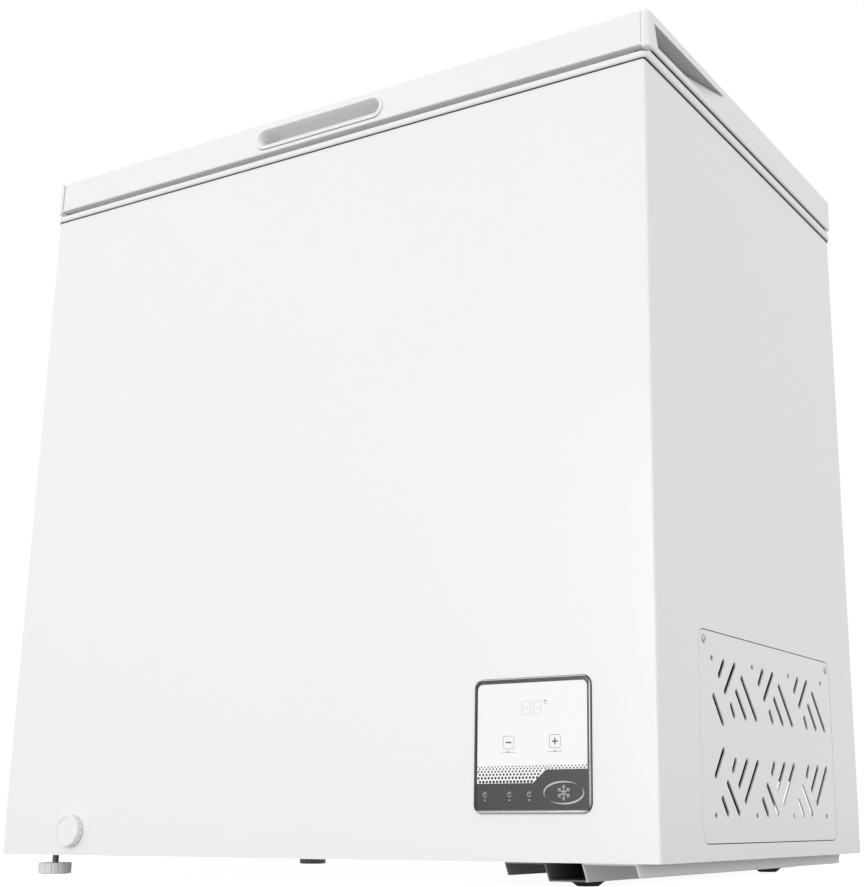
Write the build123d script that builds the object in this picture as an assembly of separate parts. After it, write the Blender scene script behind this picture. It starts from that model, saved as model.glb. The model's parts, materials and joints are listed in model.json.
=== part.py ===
from build123d import *
import math
import os

# Chest freezer, about 198 litres, in millimetres.
# +Z up, -Y is the front, +X is the right-hand side with the compressor.
# The origin is on the floor, under the middle of the bounding box.

# ---- driving dimensions -------------------------------------------------
WIDTH = 824.0  # painted cabinet, side to side
DEPTH = 546.0  # painted cabinet, front to rear
HEIGHT = 845.0  # floor to the top of the lid
FOOT_HEIGHT = 21.3  # floor to the bottom edge of the cabinet
METAL_TOP = 791.5  # top edge of the painted cabinet
SHEET = 0.8  # painted steel sheet
WALL = 60.0  # foam and skins of the cabinet wall
FRONT_PROUD = 9.0  # drain cap, the foremost point
REAR_PROUD = 17.0  # wall spacers and hinge barrels, the rearmost point

CAVITY_FLOOR = 80.0
COMPARTMENT_WIDTH = 225.0
COMPARTMENT_TOP = 245.0
STEP_TOP = 300.0  # cavity floor over the compressor compartment

RIM_OVERHANG = 3.0
RIM_TOP = 797.6
RIM_SIDE_TOP = 800.6
RIM_ROUNDING = 2.5
RIM_SKIRT = 2.5
LID_OVERHANG = 5.5
LID_FRONT_BOTTOM = 806.8
LID_SIDE_BOTTOM = 803.5
LID_CAP_WRAP = 8.0  # how far an end cap reaches onto the lid's front
LID_CAP_PROUD = 1.2
LID_CAP_CORNER = 6.0
LID_WALL = 2.5  # thickness of the moulded edge profiles
LID_SKIN_TOP = HEIGHT - 2.5

HINGE_X = 280.0
HINGE_Y = 279.0
HINGE_Z = 806.0
PIN_RADIUS = 4.0
BARREL_RADIUS = 7.0
RUNNING_CLEARANCE = 0.05

# ---- derived positions --------------------------------------------------
SIDE = WIDTH / 2
FRONT = -(DEPTH + FRONT_PROUD + REAR_PROUD) / 2 + FRONT_PROUD
REAR = FRONT + DEPTH
INNER_X = SIDE - SHEET
INNER_FRONT = FRONT + SHEET
PANEL_REAR = REAR - SHEET  # outer face of the rear sheet
INNER_REAR = PANEL_REAR - SHEET
CORNER_GAP = 1.5  # keeps square-cornered sheets out of the wrap's bends
WRAP_BEND = 2.5
RETURN_WIDTH = 15.0
CAVITY_X = SIDE - WALL
CAVITY_FRONT = FRONT + WALL
CAVITY_REAR = REAR - WALL
COMPARTMENT_LEFT = SIDE - COMPARTMENT_WIDTH
STEP_LEFT = COMPARTMENT_LEFT - WALL
LID_SIDE = SIDE + LID_OVERHANG
LID_REAR = REAR - 2.0
LID_PROFILE_X = LID_SIDE - LID_CAP_WRAP
LID_SKIN_X = LID_PROFILE_X - 0.4
LID_SKIN_Y = (FRONT + LID_WALL + 0.4, LID_REAR - 4)
LID_LINER_BOTTOM = LID_FRONT_BOTTOM + LID_WALL
LID_LINER_SHEET = 1.2
LID_LINER_TOP = LID_LINER_BOTTOM + LID_LINER_SHEET
LINER_FLANGE_Z = METAL_TOP - SHEET
WALL_FACE = COMPARTMENT_LEFT + SHEET  # inner face of the compartment's upright

REAR_POST = 58.0  # rear sheet that stays beside the vent at the right
REAR_VENT_TOP = 104.0
GLAND_X = 345.0
GLAND_Z = 165.0
GLAND_RADIUS = 8.0

# ---- control panel, on the front at the lower right -----------------------
PANEL_X = 283.9
PANEL_Z = 125.0
PANEL_WIDTH = 124.5
PANEL_HEIGHT = 122.3
PANEL_CORNER = 9.0
BEZEL = 3.0
BEZEL_FRONT = FRONT - 2.2
OVERLAY_FRONT = FRONT - 1.4
OVERLAY_REAR = FRONT - 0.4
HOUSING_DEPTH = 30.0
BOARD_Y = (FRONT + 9.0, FRONT + 10.6)

# ---- side grille -----------------------------------------------------------
GRILLE_Y = 0.2
GRILLE_Z = 135.8
GRILLE_LENGTH = 370.6
GRILLE_HEIGHT = 197.4
GRILLE_CORNER = 12.0
GRILLE_THICK = 2.8  # at the border, where it sits on its ledge
GRILLE_FACE = 1.6  # between the slots
GRILLE_BORDER = 16.0
GRILLE_SEAM = 0.8
GRILLE_LEDGE = 11.0
GRILLE_SCREW_Y = 172.9
GRILLE_SCREW_Z = 89.7
SLOT_WIDTH = 6.2
SLOT_SHIFT = 1.8  # of the slots towards the rear, from the round holes' grid
SLOT_PITCH = 103.1
FIRST_UNIT = -154.7  # centre of the first round hole, from the grille's centre

# ---- refrigeration ---------------------------------------------------------
COMPRESSOR_X = 288.0
COMPRESSOR_Y = 130.0
COMPRESSOR_RADIUS = 68.0
COMPRESSOR_TOP = 190.0
TRAY_Z = FOOT_HEIGHT + SHEET
TRAY_THICK = 1.5
MOUNT_X = 62.0
MOUNT_Y = 48.0
MOUNT_PLATE_Z = 31.0
MOUNT_PLATE_THICK = 2.0
TERMINAL_FRONT = COMPRESSOR_Y - COMPRESSOR_RADIUS - 22
DRIER_X = WALL_FACE + 16
DRIER_Y = 20.0
DRIER_Z = (90.0, 180.0)

# ---- foot rail and feet ----------------------------------------------------
RAIL_LEFT = 252.5
RAIL_RIGHT = 387.0
RAIL_FLANGE_BOTTOM = 9.6
HAT_LEFT = 294.0
HAT_RIGHT = 334.0
HAT_BOTTOM = 4.8
RUBBER_FOOT_YS = (-227.0, 219.5)
FOOT_X = -370.0
FOOT_YS = {"front": -236.0, "rear": 228.5}
FOOT_RADIUS = 18.1
FOOT_FLUTES = 14
FOOT_FLUTE_RADIUS = 1.4
FOOT_PAD_RADIUS = 15.0
FOOT_PAD_HEIGHT = 3.0
FOOT_DISC_BOTTOM = 0.4
FOOT_DISC_TOP = 12.0
STEM_RADIUS = 3.5

# ---- drain -----------------------------------------------------------------
DRAIN_X = -303.0
DRAIN_Z = 47.5
DRAIN_FLOOR_Y = -190.0
DRAIN_TUBE_RADIUS = 7.0
DRAIN_TUBE_PROUD = 6.0
DRAIN_CAP_RADIUS = 17.3
DRAIN_CAP_RIBS = 16
PLUG_HOLE_RADIUS = 8.0

# ---- lid handle and side grips ---------------------------------------------
HANDLE_Z = 824.9
HANDLE_WIDTH = 182.0
HANDLE_HEIGHT = 26.4
HANDLE_PROUD = 1.6
HANDLE_DEPTH = 27.0
# flared mouth of the grip cup: depth behind the lid's front, width, bottom and top
HANDLE_MOUTH = (
    (-1.7, 174.0, 815.2, 835.5),
    (0.2, 171.5, 817.0, 835.0),
    (3.0, 169.0, 818.6, 834.7),
    (8.0, 167.5, 820.0, 834.5),
    (25.0, 167.5, 820.0, 834.5),
)
GRIP_DEPTH = 17.0

# ---- raised panel of the lid's lining, and the lid seal ----------------------
PLUG_X = 330.0
PLUG_Y = (-195.0, 187.0)
PLUG_Z = 788.0
GASKET_X = 385.0
GASKET_Y = (FRONT + 27, REAR - 27)

# ---- basket ----------------------------------------------------------------
BASKET_LEFT = 130.0
BASKET_RIGHT = 330.0
BASKET_FRONT = -206.0
BASKET_REAR = 198.0
BASKET_TOP = 775.0
BASKET_BOTTOM = 590.0
FRAME_WIRE = 2.5
MESH_WIRE = 1.5
LEDGE_Z = 794.0
LEDGE_WIDTH = 10.0


# ---- shape helpers ---------------------------------------------------------
def block(x, y, z):
    """Box between the given pairs of limits."""
    centre = [(low + high) / 2 for low, high in (x, y, z)]
    return Pos(*centre) * Box(x[1] - x[0], y[1] - y[0], z[1] - z[0])


def column(x, y, z, radius):
    """Box with rounded vertical edges."""
    outline = RectangleRounded(x[1] - x[0], y[1] - y[0], radius)
    return extrude(Pos((x[0] + x[1]) / 2, (y[0] + y[1]) / 2, z[0]) * outline, z[1] - z[0])


def plate_xz(centre_x, centre_z, width, height, y, radius):
    """Rounded plate facing the front, between two Y values."""
    plane = Plane((centre_x, y[0], centre_z), x_dir=(1, 0, 0), z_dir=(0, 1, 0))
    return extrude(plane * RectangleRounded(width, height, radius), y[1] - y[0])


def plate_yz(centre_y, centre_z, length, height, x, radius):
    """Rounded plate facing the side, between two X values."""
    plane = Plane((x[0], centre_y, centre_z), x_dir=(0, 1, 0), z_dir=(1, 0, 0))
    return extrude(plane * RectangleRounded(length, height, radius), x[1] - x[0])


def prism_x(points, x):
    """Outline in Y and Z, extruded between two X values."""
    plane = Plane((x[0], 0, 0), x_dir=(0, 1, 0), z_dir=(1, 0, 0))
    return extrude(plane * make_face(Polyline(*points, close=True)), x[1] - x[0])


def prism_y(points, y):
    """Outline in X and Z, extruded between two Y values."""
    plane = Plane((0, y[1], 0), x_dir=(1, 0, 0), z_dir=(0, -1, 0))
    return extrude(plane * make_face(Polyline(*points, close=True)), y[1] - y[0])


def prism_z(points, z):
    """Outline in X and Y, extruded between two Z values."""
    return extrude(Pos(0, 0, z[0]) * make_face(Polyline(*points, close=True)), z[1] - z[0])


def rod_x(y, z, x, radius):
    return Pos((x[0] + x[1]) / 2, y, z) * Rot(0, 90, 0) * Cylinder(radius, x[1] - x[0])


def rod_y(x, z, y, radius):
    return Pos(x, (y[0] + y[1]) / 2, z) * Rot(90, 0, 0) * Cylinder(radius, y[1] - y[0])


def rod_z(x, y, z, radius):
    return Pos(x, y, (z[0] + z[1]) / 2) * Cylinder(radius, z[1] - z[0])


def pipe(points, radius, bend):
    """Round tube along straight runs joined by arcs."""
    path = FilletPolyline(*points, radius=bend)
    return sweep(Plane(path @ 0, z_dir=path % 0) * Circle(radius), path=path)


def mirror_x(shape):
    return mirror(shape, about=Plane.YZ)


def save(name, shape):
    """Write one named sub-part as its own STEP file."""
    solids = shape.solids()
    body = solids[0] if len(solids) == 1 else Compound(children=list(solids))
    body.label = name
    export_step(body, f"parts/{name}.step")


# ---- cabinet ---------------------------------------------------------------
def grille_window(margin, x):
    """The grille's outline, grown by a margin on every side."""
    corner = max(GRILLE_CORNER + margin, 3.0)
    length = GRILLE_LENGTH + 2 * margin
    height = GRILLE_HEIGHT + 2 * margin
    return plate_yz(GRILLE_Y, GRILLE_Z, length, height, x, corner)


def wrap():
    """Closed band of sheet around the cabinet, with a bottom; the wrap and its returns are cut from it."""
    outside = column((-SIDE, SIDE), (FRONT, REAR), (FOOT_HEIGHT, METAL_TOP), WRAP_BEND)
    inside = column(
        (-INNER_X, INNER_X),
        (INNER_FRONT, REAR - SHEET),
        (FOOT_HEIGHT + SHEET, METAL_TOP + 1),
        WRAP_BEND - SHEET,
    )
    return outside - inside


def wrap_walls():
    """Space taken by the front and the two sides of the wrap."""
    return block((-SIDE, SIDE), (FRONT, REAR - WRAP_BEND), (FOOT_HEIGHT + SHEET, METAL_TOP))


def shell_returns():
    """Folded returns of the wrap: along the bottom, and up both rear corners."""
    returns = wrap() - wrap_walls()
    open_x = (-SIDE + RETURN_WIDTH, SIDE - RETURN_WIDTH)
    returns -= block(open_x, (REAR - 3, REAR + 1), (FOOT_HEIGHT - 1, METAL_TOP + 1))
    open_y = (FRONT + RETURN_WIDTH, REAR + 1)
    return returns - block(open_x, open_y, (FOOT_HEIGHT - 1, FOOT_HEIGHT + SHEET + 0.1))


def outer_shell():
    """Painted wrap: front and both sides in one sheet, with the grille's seat."""
    shell = wrap() & wrap_walls()
    # joggled seat for the grille
    shell -= grille_window(GRILLE_SEAM, (INNER_X - 5, SIDE + 1))
    seat_x = SIDE - GRILLE_THICK
    seat = grille_window(GRILLE_SEAM + SHEET, (seat_x - SHEET, INNER_X + 0.2))
    seat -= grille_window(GRILLE_SEAM, (seat_x, INNER_X + 1))
    seat -= grille_window(-GRILLE_LEDGE, (seat_x - 2, seat_x + 1))
    for side in (-1, 1):
        seat -= rod_x(
            GRILLE_Y + side * GRILLE_SCREW_Y, GRILLE_Z + GRILLE_SCREW_Z, (seat_x - 2, seat_x + 1), 1.8
        )
    shell += seat
    # openings in the front
    shell -= plate_xz(PANEL_X, PANEL_Z, PANEL_WIDTH - 12, PANEL_HEIGHT - 12, (FRONT - 1, FRONT + 2), 5)
    shell -= rod_y(DRAIN_X, DRAIN_Z, (FRONT - 1, FRONT + 2), 10)
    return shell


def rear_panel():
    """Rear sheet, open at the bottom of the compressor compartment."""
    half_width = INNER_X - 5
    sheet = block((-half_width, half_width), (INNER_REAR, PANEL_REAR), (TRAY_Z, METAL_TOP))
    vent = (COMPARTMENT_LEFT + SHEET, SIDE - REAR_POST)
    sheet -= block(vent, (INNER_REAR - 1, REAR), (0, REAR_VENT_TOP))
    # stiffening beads and the hole of the cord gland
    for z in (330, 450, 570):
        sheet += plate_xz(0, z, 560, 14, (PANEL_REAR - 0.1, PANEL_REAR + 0.9), 6.9)
    return sheet - rod_y(GLAND_X, GLAND_Z, (INNER_REAR - 1, REAR + 1), GLAND_RADIUS + RUNNING_CLEARANCE)


def bottom_panel():
    x = (-INNER_X + CORNER_GAP, COMPARTMENT_LEFT)
    y = (INNER_FRONT + CORNER_GAP, INNER_REAR)
    sheet = block(x, y, (TRAY_Z, TRAY_Z + SHEET))
    for y in FOOT_YS.values():
        sheet -= rod_z(FOOT_X, y, (TRAY_Z - 1, TRAY_Z + 2), STEM_RADIUS + 1)
    return sheet


def compartment_wall():
    """Bent sheet that closes the compressor compartment off from the foam."""
    y = (INNER_FRONT + CORNER_GAP, INNER_REAR)
    upright = block((COMPARTMENT_LEFT, COMPARTMENT_LEFT + SHEET), y, (TRAY_Z, COMPARTMENT_TOP))
    roof = block((COMPARTMENT_LEFT, INNER_X - CORNER_GAP), y, (COMPARTMENT_TOP, COMPARTMENT_TOP + SHEET))
    return upright + roof


def cavity(grow):
    """The storage space, grown outwards by a skin thickness."""
    top = METAL_TOP + 5
    space = column(
        (-CAVITY_X - grow, CAVITY_X + grow),
        (CAVITY_FRONT - grow, CAVITY_REAR + grow),
        (STEP_TOP - grow, top),
        25 + grow,
    )
    space += column(
        (-CAVITY_X - grow, STEP_LEFT + grow),
        (CAVITY_FRONT - grow, CAVITY_REAR + grow),
        (CAVITY_FLOOR - grow, top),
        25 + grow,
    )
    return space


def inner_liner():
    """White lining of the storage space, with a flange under the rim."""
    liner = cavity(SHEET) & block((-SIDE, SIDE), (FRONT, REAR), (0, METAL_TOP))
    liner += column(
        (-CAVITY_X - 20, CAVITY_X + 20),
        (CAVITY_FRONT - 20, CAVITY_REAR + 20),
        (LINER_FLANGE_Z, METAL_TOP),
        40,
    )
    liner -= cavity(0)
    liner -= rod_z(DRAIN_X, DRAIN_FLOOR_Y, (CAVITY_FLOOR - 2, CAVITY_FLOOR + 2), PLUG_HOLE_RADIUS)
    return liner


def foot_pocket(y):
    return rod_z(FOOT_X, y, (TRAY_Z, 66), 12)


def foam_insulation():
    """Foamed-in insulation between the outer skins and the liner."""
    foam = block((-INNER_X, INNER_X), (INNER_FRONT, INNER_REAR), (TRAY_Z + SHEET, LINER_FLANGE_Z))
    foam = fillet(foam.edges().filter_by(Axis.Z), 4.2)
    foam -= block((COMPARTMENT_LEFT, SIDE), (FRONT, REAR), (0, COMPARTMENT_TOP + SHEET))
    foam -= cavity(SHEET)
    foam -= rod_y(DRAIN_X, DRAIN_Z, (INNER_FRONT, DRAIN_FLOOR_Y + 14), 10)
    foam -= rod_z(DRAIN_X, DRAIN_FLOOR_Y, (DRAIN_Z - 12, CAVITY_FLOOR), 13)
    for y in FOOT_YS.values():
        foam -= foot_pocket(y)
    return foam


def rim_frame():
    """Plastic rim that finishes the top of the cabinet and carries the basket."""
    rim = column(
        (-SIDE - RIM_OVERHANG, SIDE + RIM_OVERHANG),
        (FRONT - RIM_OVERHANG, REAR + RIM_OVERHANG),
        (METAL_TOP, RIM_TOP),
        8,
    )
    rim = fillet(rim.edges().group_by(Axis.Z)[0], RIM_ROUNDING)
    for side in (-1, 1):
        rim += block(
            sorted((side * (SIDE - 17), side * (SIDE + RIM_OVERHANG))),
            (FRONT + 6, REAR - 6),
            (RIM_TOP - 1, RIM_SIDE_TOP),
        )
    rim -= column(
        (-CAVITY_X - LEDGE_WIDTH, CAVITY_X + LEDGE_WIDTH),
        (CAVITY_FRONT - LEDGE_WIDTH, CAVITY_REAR + LEDGE_WIDTH),
        (LEDGE_Z, RIM_TOP + 1),
        25 + LEDGE_WIDTH,
    )
    throat = (-CAVITY_X, CAVITY_X), (CAVITY_FRONT, CAVITY_REAR)
    rim += column(*throat, (METAL_TOP - 20, METAL_TOP + 1), 25)
    rim -= column(
        (-CAVITY_X + RIM_SKIRT, CAVITY_X - RIM_SKIRT),
        (CAVITY_FRONT + RIM_SKIRT, CAVITY_REAR - RIM_SKIRT),
        (METAL_TOP - 21, RIM_TOP + 1),
        25 - RIM_SKIRT,
    )
    return rim


# ---- control panel ---------------------------------------------------------
def panel_bezel():
    """Bright ring around the control panel."""
    ring = plate_xz(PANEL_X, PANEL_Z, PANEL_WIDTH, PANEL_HEIGHT, (BEZEL_FRONT, FRONT), PANEL_CORNER)
    front_edges = ring.faces().sort_by(Axis.Y)[0].edges()
    ring = fillet(front_edges, 1.2)
    inner = PANEL_CORNER - BEZEL
    ring -= plate_xz(
        PANEL_X,
        PANEL_Z,
        PANEL_WIDTH - 2 * BEZEL,
        PANEL_HEIGHT - 2 * BEZEL,
        (BEZEL_FRONT - 1, FRONT + 1),
        inner,
    )
    return ring


def panel_overlay():
    """Printed touch film on its carrier, set just behind the ring's front."""
    width = PANEL_WIDTH - 2 * BEZEL - 0.4
    height = PANEL_HEIGHT - 2 * BEZEL - 0.4
    return plate_xz(PANEL_X, PANEL_Z, width, height, (OVERLAY_FRONT, OVERLAY_REAR), 5.8)


def panel_housing():
    """Moulded box behind the overlay that holds the electronics."""
    width, height, wall = 110.0, 108.0, 2.0
    rear = OVERLAY_REAR + HOUSING_DEPTH
    box = plate_xz(PANEL_X, PANEL_Z, width, height, (OVERLAY_REAR, rear), 4)
    inside_y = (OVERLAY_REAR - 1, rear - wall)
    box -= plate_xz(PANEL_X, PANEL_Z, width - 2 * wall, height - 2 * wall, inside_y, 2)
    for x in (-1, 1):
        for z in (-1, 1):
            box += rod_y(PANEL_X + x * 46, PANEL_Z + z * 45, (BOARD_Y[1], rear), 3.5)
    box -= rod_y(PANEL_X, PANEL_Z - 20, (rear - 5, rear + 5), 4)
    return box


def control_board():
    """Circuit board with its relay, transformer and connectors behind."""
    board = plate_xz(PANEL_X, PANEL_Z, 102, 100, BOARD_Y, 2)
    behind = BOARD_Y[1]
    board += block((PANEL_X + 10, PANEL_X + 28), (behind - 0.1, behind + 13), (PANEL_Z + 8, PANEL_Z + 24))
    board += block((PANEL_X - 34, PANEL_X - 8), (behind - 0.1, behind + 15), (PANEL_Z - 12, PANEL_Z + 10))
    board += rod_y(PANEL_X + 30, PANEL_Z - 16, (behind - 0.1, behind + 14), 6)
    return board


def display_module():
    """Two-digit display block and three signal lamps on the front of the board."""
    front = OVERLAY_REAR + 0.4
    digits = block((PANEL_X - 13, PANEL_X + 13), (front, BOARD_Y[0]), (PANEL_Z + 24, PANEL_Z + 42))
    shapes = [digits]
    for x in (PANEL_X - 49.5, PANEL_X - 23, PANEL_X - 2):
        shapes.append(block((x - 2, x + 2), (front, BOARD_Y[0]), (74, 78)))
    return Compound(children=shapes)


# ---- side grille -----------------------------------------------------------
def slot_cut(start, end):
    """One slanting slot of the grille, between the extreme points of its length."""
    (y0, z0), (y1, z1) = start, end
    length = math.hypot(y1 - y0, z1 - z0)
    angle = math.degrees(math.atan2(z1 - z0, y1 - y0))
    plane = Plane((SIDE - 6, (y0 + y1) / 2, (z0 + z1) / 2), x_dir=(0, 1, 0), z_dir=(1, 0, 0))
    outline = Rot(0, 0, angle) * SlotOverall(length, SLOT_WIDTH)
    return extrude(plane * outline, 12)


# slots of one repeat, measured from its round hole in Y and from mid-height in Z
UNIT_SLOTS = (
    ((28.7, 74.0), (13.4, 55.6)),
    ((56.7, 73.2), (26.9, 41.1)),
    ((70.3, 61.8), (109.3, 19.2)),
    ((55.3, 47.4), (81.0, 19.0)),
    ((41.2, 33.5), (51.4, 19.0)),
)
LEADING_SLOT = ((-1.5, 39.3), (22.6, 10.5))
ROUND_HOLE_Z = 73.2


def side_grille():
    """Ventilation grille of the compressor compartment."""
    grille = grille_window(0, (SIDE - GRILLE_THICK, SIDE))
    grille = fillet(grille.faces().sort_by(Axis.X)[-1].edges(), 0.5)
    grille -= grille_window(-GRILLE_BORDER, (SIDE - GRILLE_THICK - 1, SIDE - GRILLE_FACE))
    for row in (1, -1):
        slots = []
        for unit in range(3):
            start_y = GRILLE_Y + FIRST_UNIT + unit * SLOT_PITCH + SLOT_SHIFT
            pattern = UNIT_SLOTS + (LEADING_SLOT,) if unit == 0 else UNIT_SLOTS
            for first, last in pattern:
                slots.append(
                    slot_cut(
                        (start_y + first[0], GRILLE_Z + row * first[1]),
                        (start_y + last[0], GRILLE_Z + row * last[1]),
                    )
                )
        grille -= slots
        for hole in range(4):
            y = GRILLE_Y + FIRST_UNIT + hole * SLOT_PITCH
            grille -= rod_x(y, GRILLE_Z + row * ROUND_HOLE_Z, (SIDE - 6, SIDE + 2), 2.75)
    for side in (-1, 1):
        y = GRILLE_Y + side * GRILLE_SCREW_Y
        grille -= rod_x(y, GRILLE_Z + GRILLE_SCREW_Z, (SIDE - 6, SIDE + 2), 2.2)
        grille -= rod_x(y, GRILLE_Z + GRILLE_SCREW_Z, (SIDE - 0.9, SIDE + 2), 4.4)
    return grille


def screw_x(x_head, y, z, length, head=3.8):
    """Pan-head screw pointing inwards along -X, with a cross recess."""
    body = rod_x(y, z, (x_head - length, x_head - 1), 1.75)
    top = fillet(rod_x(y, z, (x_head - 1.5, x_head + 0.6), head).edges().sort_by(Axis.X)[-1], 0.8)
    top -= block((x_head, x_head + 2), (y - 2.2, y + 2.2), (z - 0.45, z + 0.45))
    top -= block((x_head, x_head + 2), (y - 0.45, y + 0.45), (z - 2.2, z + 2.2))
    return body + top


def grille_screws():
    z = GRILLE_Z + GRILLE_SCREW_Z
    sides = (-1, 1)
    seat = SIDE + 0.6
    return Compound(children=[screw_x(seat, GRILLE_Y + s * GRILLE_SCREW_Y, z, 14) for s in sides])


# ---- base, rail and feet ---------------------------------------------------
def base_tray():
    """Floor of the compressor compartment."""
    x = (COMPARTMENT_LEFT + SHEET, INNER_X - CORNER_GAP)
    y = (INNER_FRONT + CORNER_GAP, INNER_REAR)
    tray = block(x, y, (TRAY_Z, TRAY_Z + TRAY_THICK))
    for px, py in mount_points():
        tray -= rod_z(px, py, (TRAY_Z - 1, TRAY_Z + 3), 3)
    for foot_y in RUBBER_FOOT_YS:
        tray -= rod_z((HAT_LEFT + HAT_RIGHT) / 2, foot_y, (TRAY_Z - 1, TRAY_Z + 3), 6)
    for y_slot in range(-150, 40, 30):
        tray -= block((215, 245), (y_slot, y_slot + 8), (TRAY_Z - 1, TRAY_Z + 3))
    return tray


def foot_rail():
    """Pressed rail under the compressor tray; its hat section carries the rubber feet."""
    t = TRAY_THICK
    top = FOOT_HEIGHT
    outline = [
        (RAIL_RIGHT, RAIL_FLANGE_BOTTOM),
        (RAIL_RIGHT, top),
        (RAIL_LEFT, top),
        (RAIL_LEFT, RAIL_FLANGE_BOTTOM),
        (RAIL_LEFT + t, RAIL_FLANGE_BOTTOM),
        (RAIL_LEFT + t, top - t),
        (HAT_LEFT, top - t),
        (HAT_LEFT, HAT_BOTTOM),
        (HAT_RIGHT, HAT_BOTTOM),
        (HAT_RIGHT, top - t),
        (RAIL_RIGHT - t, top - t),
        (RAIL_RIGHT - t, RAIL_FLANGE_BOTTOM),
    ]
    rail = prism_y(outline, (FRONT + 4, REAR - 2))
    rail -= block((HAT_LEFT + t, HAT_RIGHT - t), (FRONT, REAR), (HAT_BOTTOM + t, top + 1))
    front_end = [(FRONT - 1, 0), (FRONT + 16.5, 0), (FRONT + 4, top + 0.1), (FRONT - 1, top + 0.1)]
    rear_end = [(REAR + 1, 0), (REAR - 14, 0), (REAR - 2, top + 0.1), (REAR + 1, top + 0.1)]
    for end in (front_end, rear_end):
        rail -= prism_x(end, (RAIL_LEFT - 1, RAIL_RIGHT + 1))
    for foot_y in RUBBER_FOOT_YS:
        rail -= rod_z((HAT_LEFT + HAT_RIGHT) / 2, foot_y, (0, 10), 4)
    return rail


def rubber_feet():
    """Two tapered rubber feet whose studs snap into the rail."""
    feet = []
    for foot_y in RUBBER_FOOT_YS:
        place = Pos((HAT_LEFT + HAT_RIGHT) / 2, foot_y, HAT_BOTTOM / 2)
        foot = place * Cone(10, 16.5, HAT_BOTTOM)
        foot += rod_z((HAT_LEFT + HAT_RIGHT) / 2, foot_y, (HAT_BOTTOM - 0.1, 14), 4 - RUNNING_CLEARANCE)
        feet.append(foot)
    return Compound(children=feet)


def foot_inserts():
    """Threaded inserts in the cabinet bottom for the two levelling feet."""
    inserts = []
    for y in FOOT_YS.values():
        insert = rod_z(FOOT_X, y, (TRAY_Z + SHEET, 46), 8) + rod_z(FOOT_X, y, (TRAY_Z + SHEET, 24), 11.5)
        inserts.append(insert - rod_z(FOOT_X, y, (TRAY_Z, 60), STEM_RADIUS + RUNNING_CLEARANCE))
    return Compound(children=inserts)


def levelling_foot(y):
    """Fluted disc with its threaded stem, and a recess for the pad under it."""
    disc = rod_z(FOOT_X, y, (FOOT_DISC_BOTTOM, FOOT_DISC_TOP), FOOT_RADIUS)
    disc = chamfer(disc.edges().group_by(Axis.Z)[-1], 0.4)
    flutes = []
    flute_circle = FOOT_RADIUS + 0.5
    for step in range(FOOT_FLUTES):
        angle = 2 * math.pi * step / FOOT_FLUTES
        flute_x = FOOT_X + flute_circle * math.cos(angle)
        flute_y = y + flute_circle * math.sin(angle)
        flutes.append(rod_z(flute_x, flute_y, (0, FOOT_DISC_TOP + 1), FOOT_FLUTE_RADIUS))
    disc -= flutes
    disc += rod_z(FOOT_X, y, (FOOT_DISC_TOP - 1, 44), STEM_RADIUS)
    disc -= rod_z(FOOT_X, y, (0, FOOT_PAD_HEIGHT), FOOT_PAD_RADIUS + RUNNING_CLEARANCE)
    return disc - rod_z(FOOT_X, y, (0, FOOT_PAD_HEIGHT + 3), 5 + RUNNING_CLEARANCE)


def foot_pad(y):
    """Anti-slip pad plugged into the disc."""
    pad = rod_z(FOOT_X, y, (0, FOOT_PAD_HEIGHT), FOOT_PAD_RADIUS)
    return pad + rod_z(FOOT_X, y, (FOOT_PAD_HEIGHT - 0.5, FOOT_PAD_HEIGHT + 3), 5)


# ---- refrigeration parts ---------------------------------------------------
def mount_points():
    return [(COMPRESSOR_X + sx * MOUNT_X, COMPRESSOR_Y + sy * MOUNT_Y) for sx in (-1, 1) for sy in (-1, 1)]


def compressor():
    """Hermetic compressor: two domed shells welded at a seam."""
    z = (MOUNT_PLATE_Z + MOUNT_PLATE_THICK, COMPRESSOR_TOP)
    body = rod_z(COMPRESSOR_X, COMPRESSOR_Y, z, COMPRESSOR_RADIUS)
    body = fillet(body.edges().group_by(Axis.Z)[-1], 34)
    body = fillet(body.edges().group_by(Axis.Z)[0], 16)
    body += rod_z(COMPRESSOR_X, COMPRESSOR_Y, (108, 112), COMPRESSOR_RADIUS + 3)
    # charging stub, pinched shut
    stub_y = COMPRESSOR_Y + 40
    stub = rod_x(stub_y, 90, (COMPRESSOR_X - 92, COMPRESSOR_X - 40), 3.2)
    return body + stub


def compressor_plate():
    """Mounting plate welded under the compressor."""
    reach_x = MOUNT_X + 12
    reach_y = MOUNT_Y + 12
    plate = column(
        (COMPRESSOR_X - reach_x, COMPRESSOR_X + reach_x),
        (COMPRESSOR_Y - reach_y, COMPRESSOR_Y + reach_y),
        (MOUNT_PLATE_Z, MOUNT_PLATE_Z + MOUNT_PLATE_THICK),
        14,
    )
    for x, y in mount_points():
        plate -= rod_z(x, y, (20, 40), 6)
    return plate


def compressor_grommets():
    """Rubber mounts, each with a groove that holds the plate."""
    shapes = []
    plate_top = MOUNT_PLATE_Z + MOUNT_PLATE_THICK
    for x, y in mount_points():
        mount = rod_z(x, y, (TRAY_Z + TRAY_THICK, MOUNT_PLATE_Z), 10)
        mount += rod_z(x, y, (MOUNT_PLATE_Z, plate_top), 6 - RUNNING_CLEARANCE)
        mount += rod_z(x, y, (plate_top, plate_top + 5), 8.5)
        shapes.append(mount - rod_z(x, y, (20, 45), 3))
    return Compound(children=shapes)


def compressor_bolts():
    shapes = []
    head_z = MOUNT_PLATE_Z + MOUNT_PLATE_THICK + 5
    for x, y in mount_points():
        bolt = rod_z(x, y, (TRAY_Z, head_z), 3)
        bolt += extrude(Pos(x, y, head_z) * RegularPolygon(5.5, 6), 4)
        shapes.append(bolt)
    return Compound(children=shapes)


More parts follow.
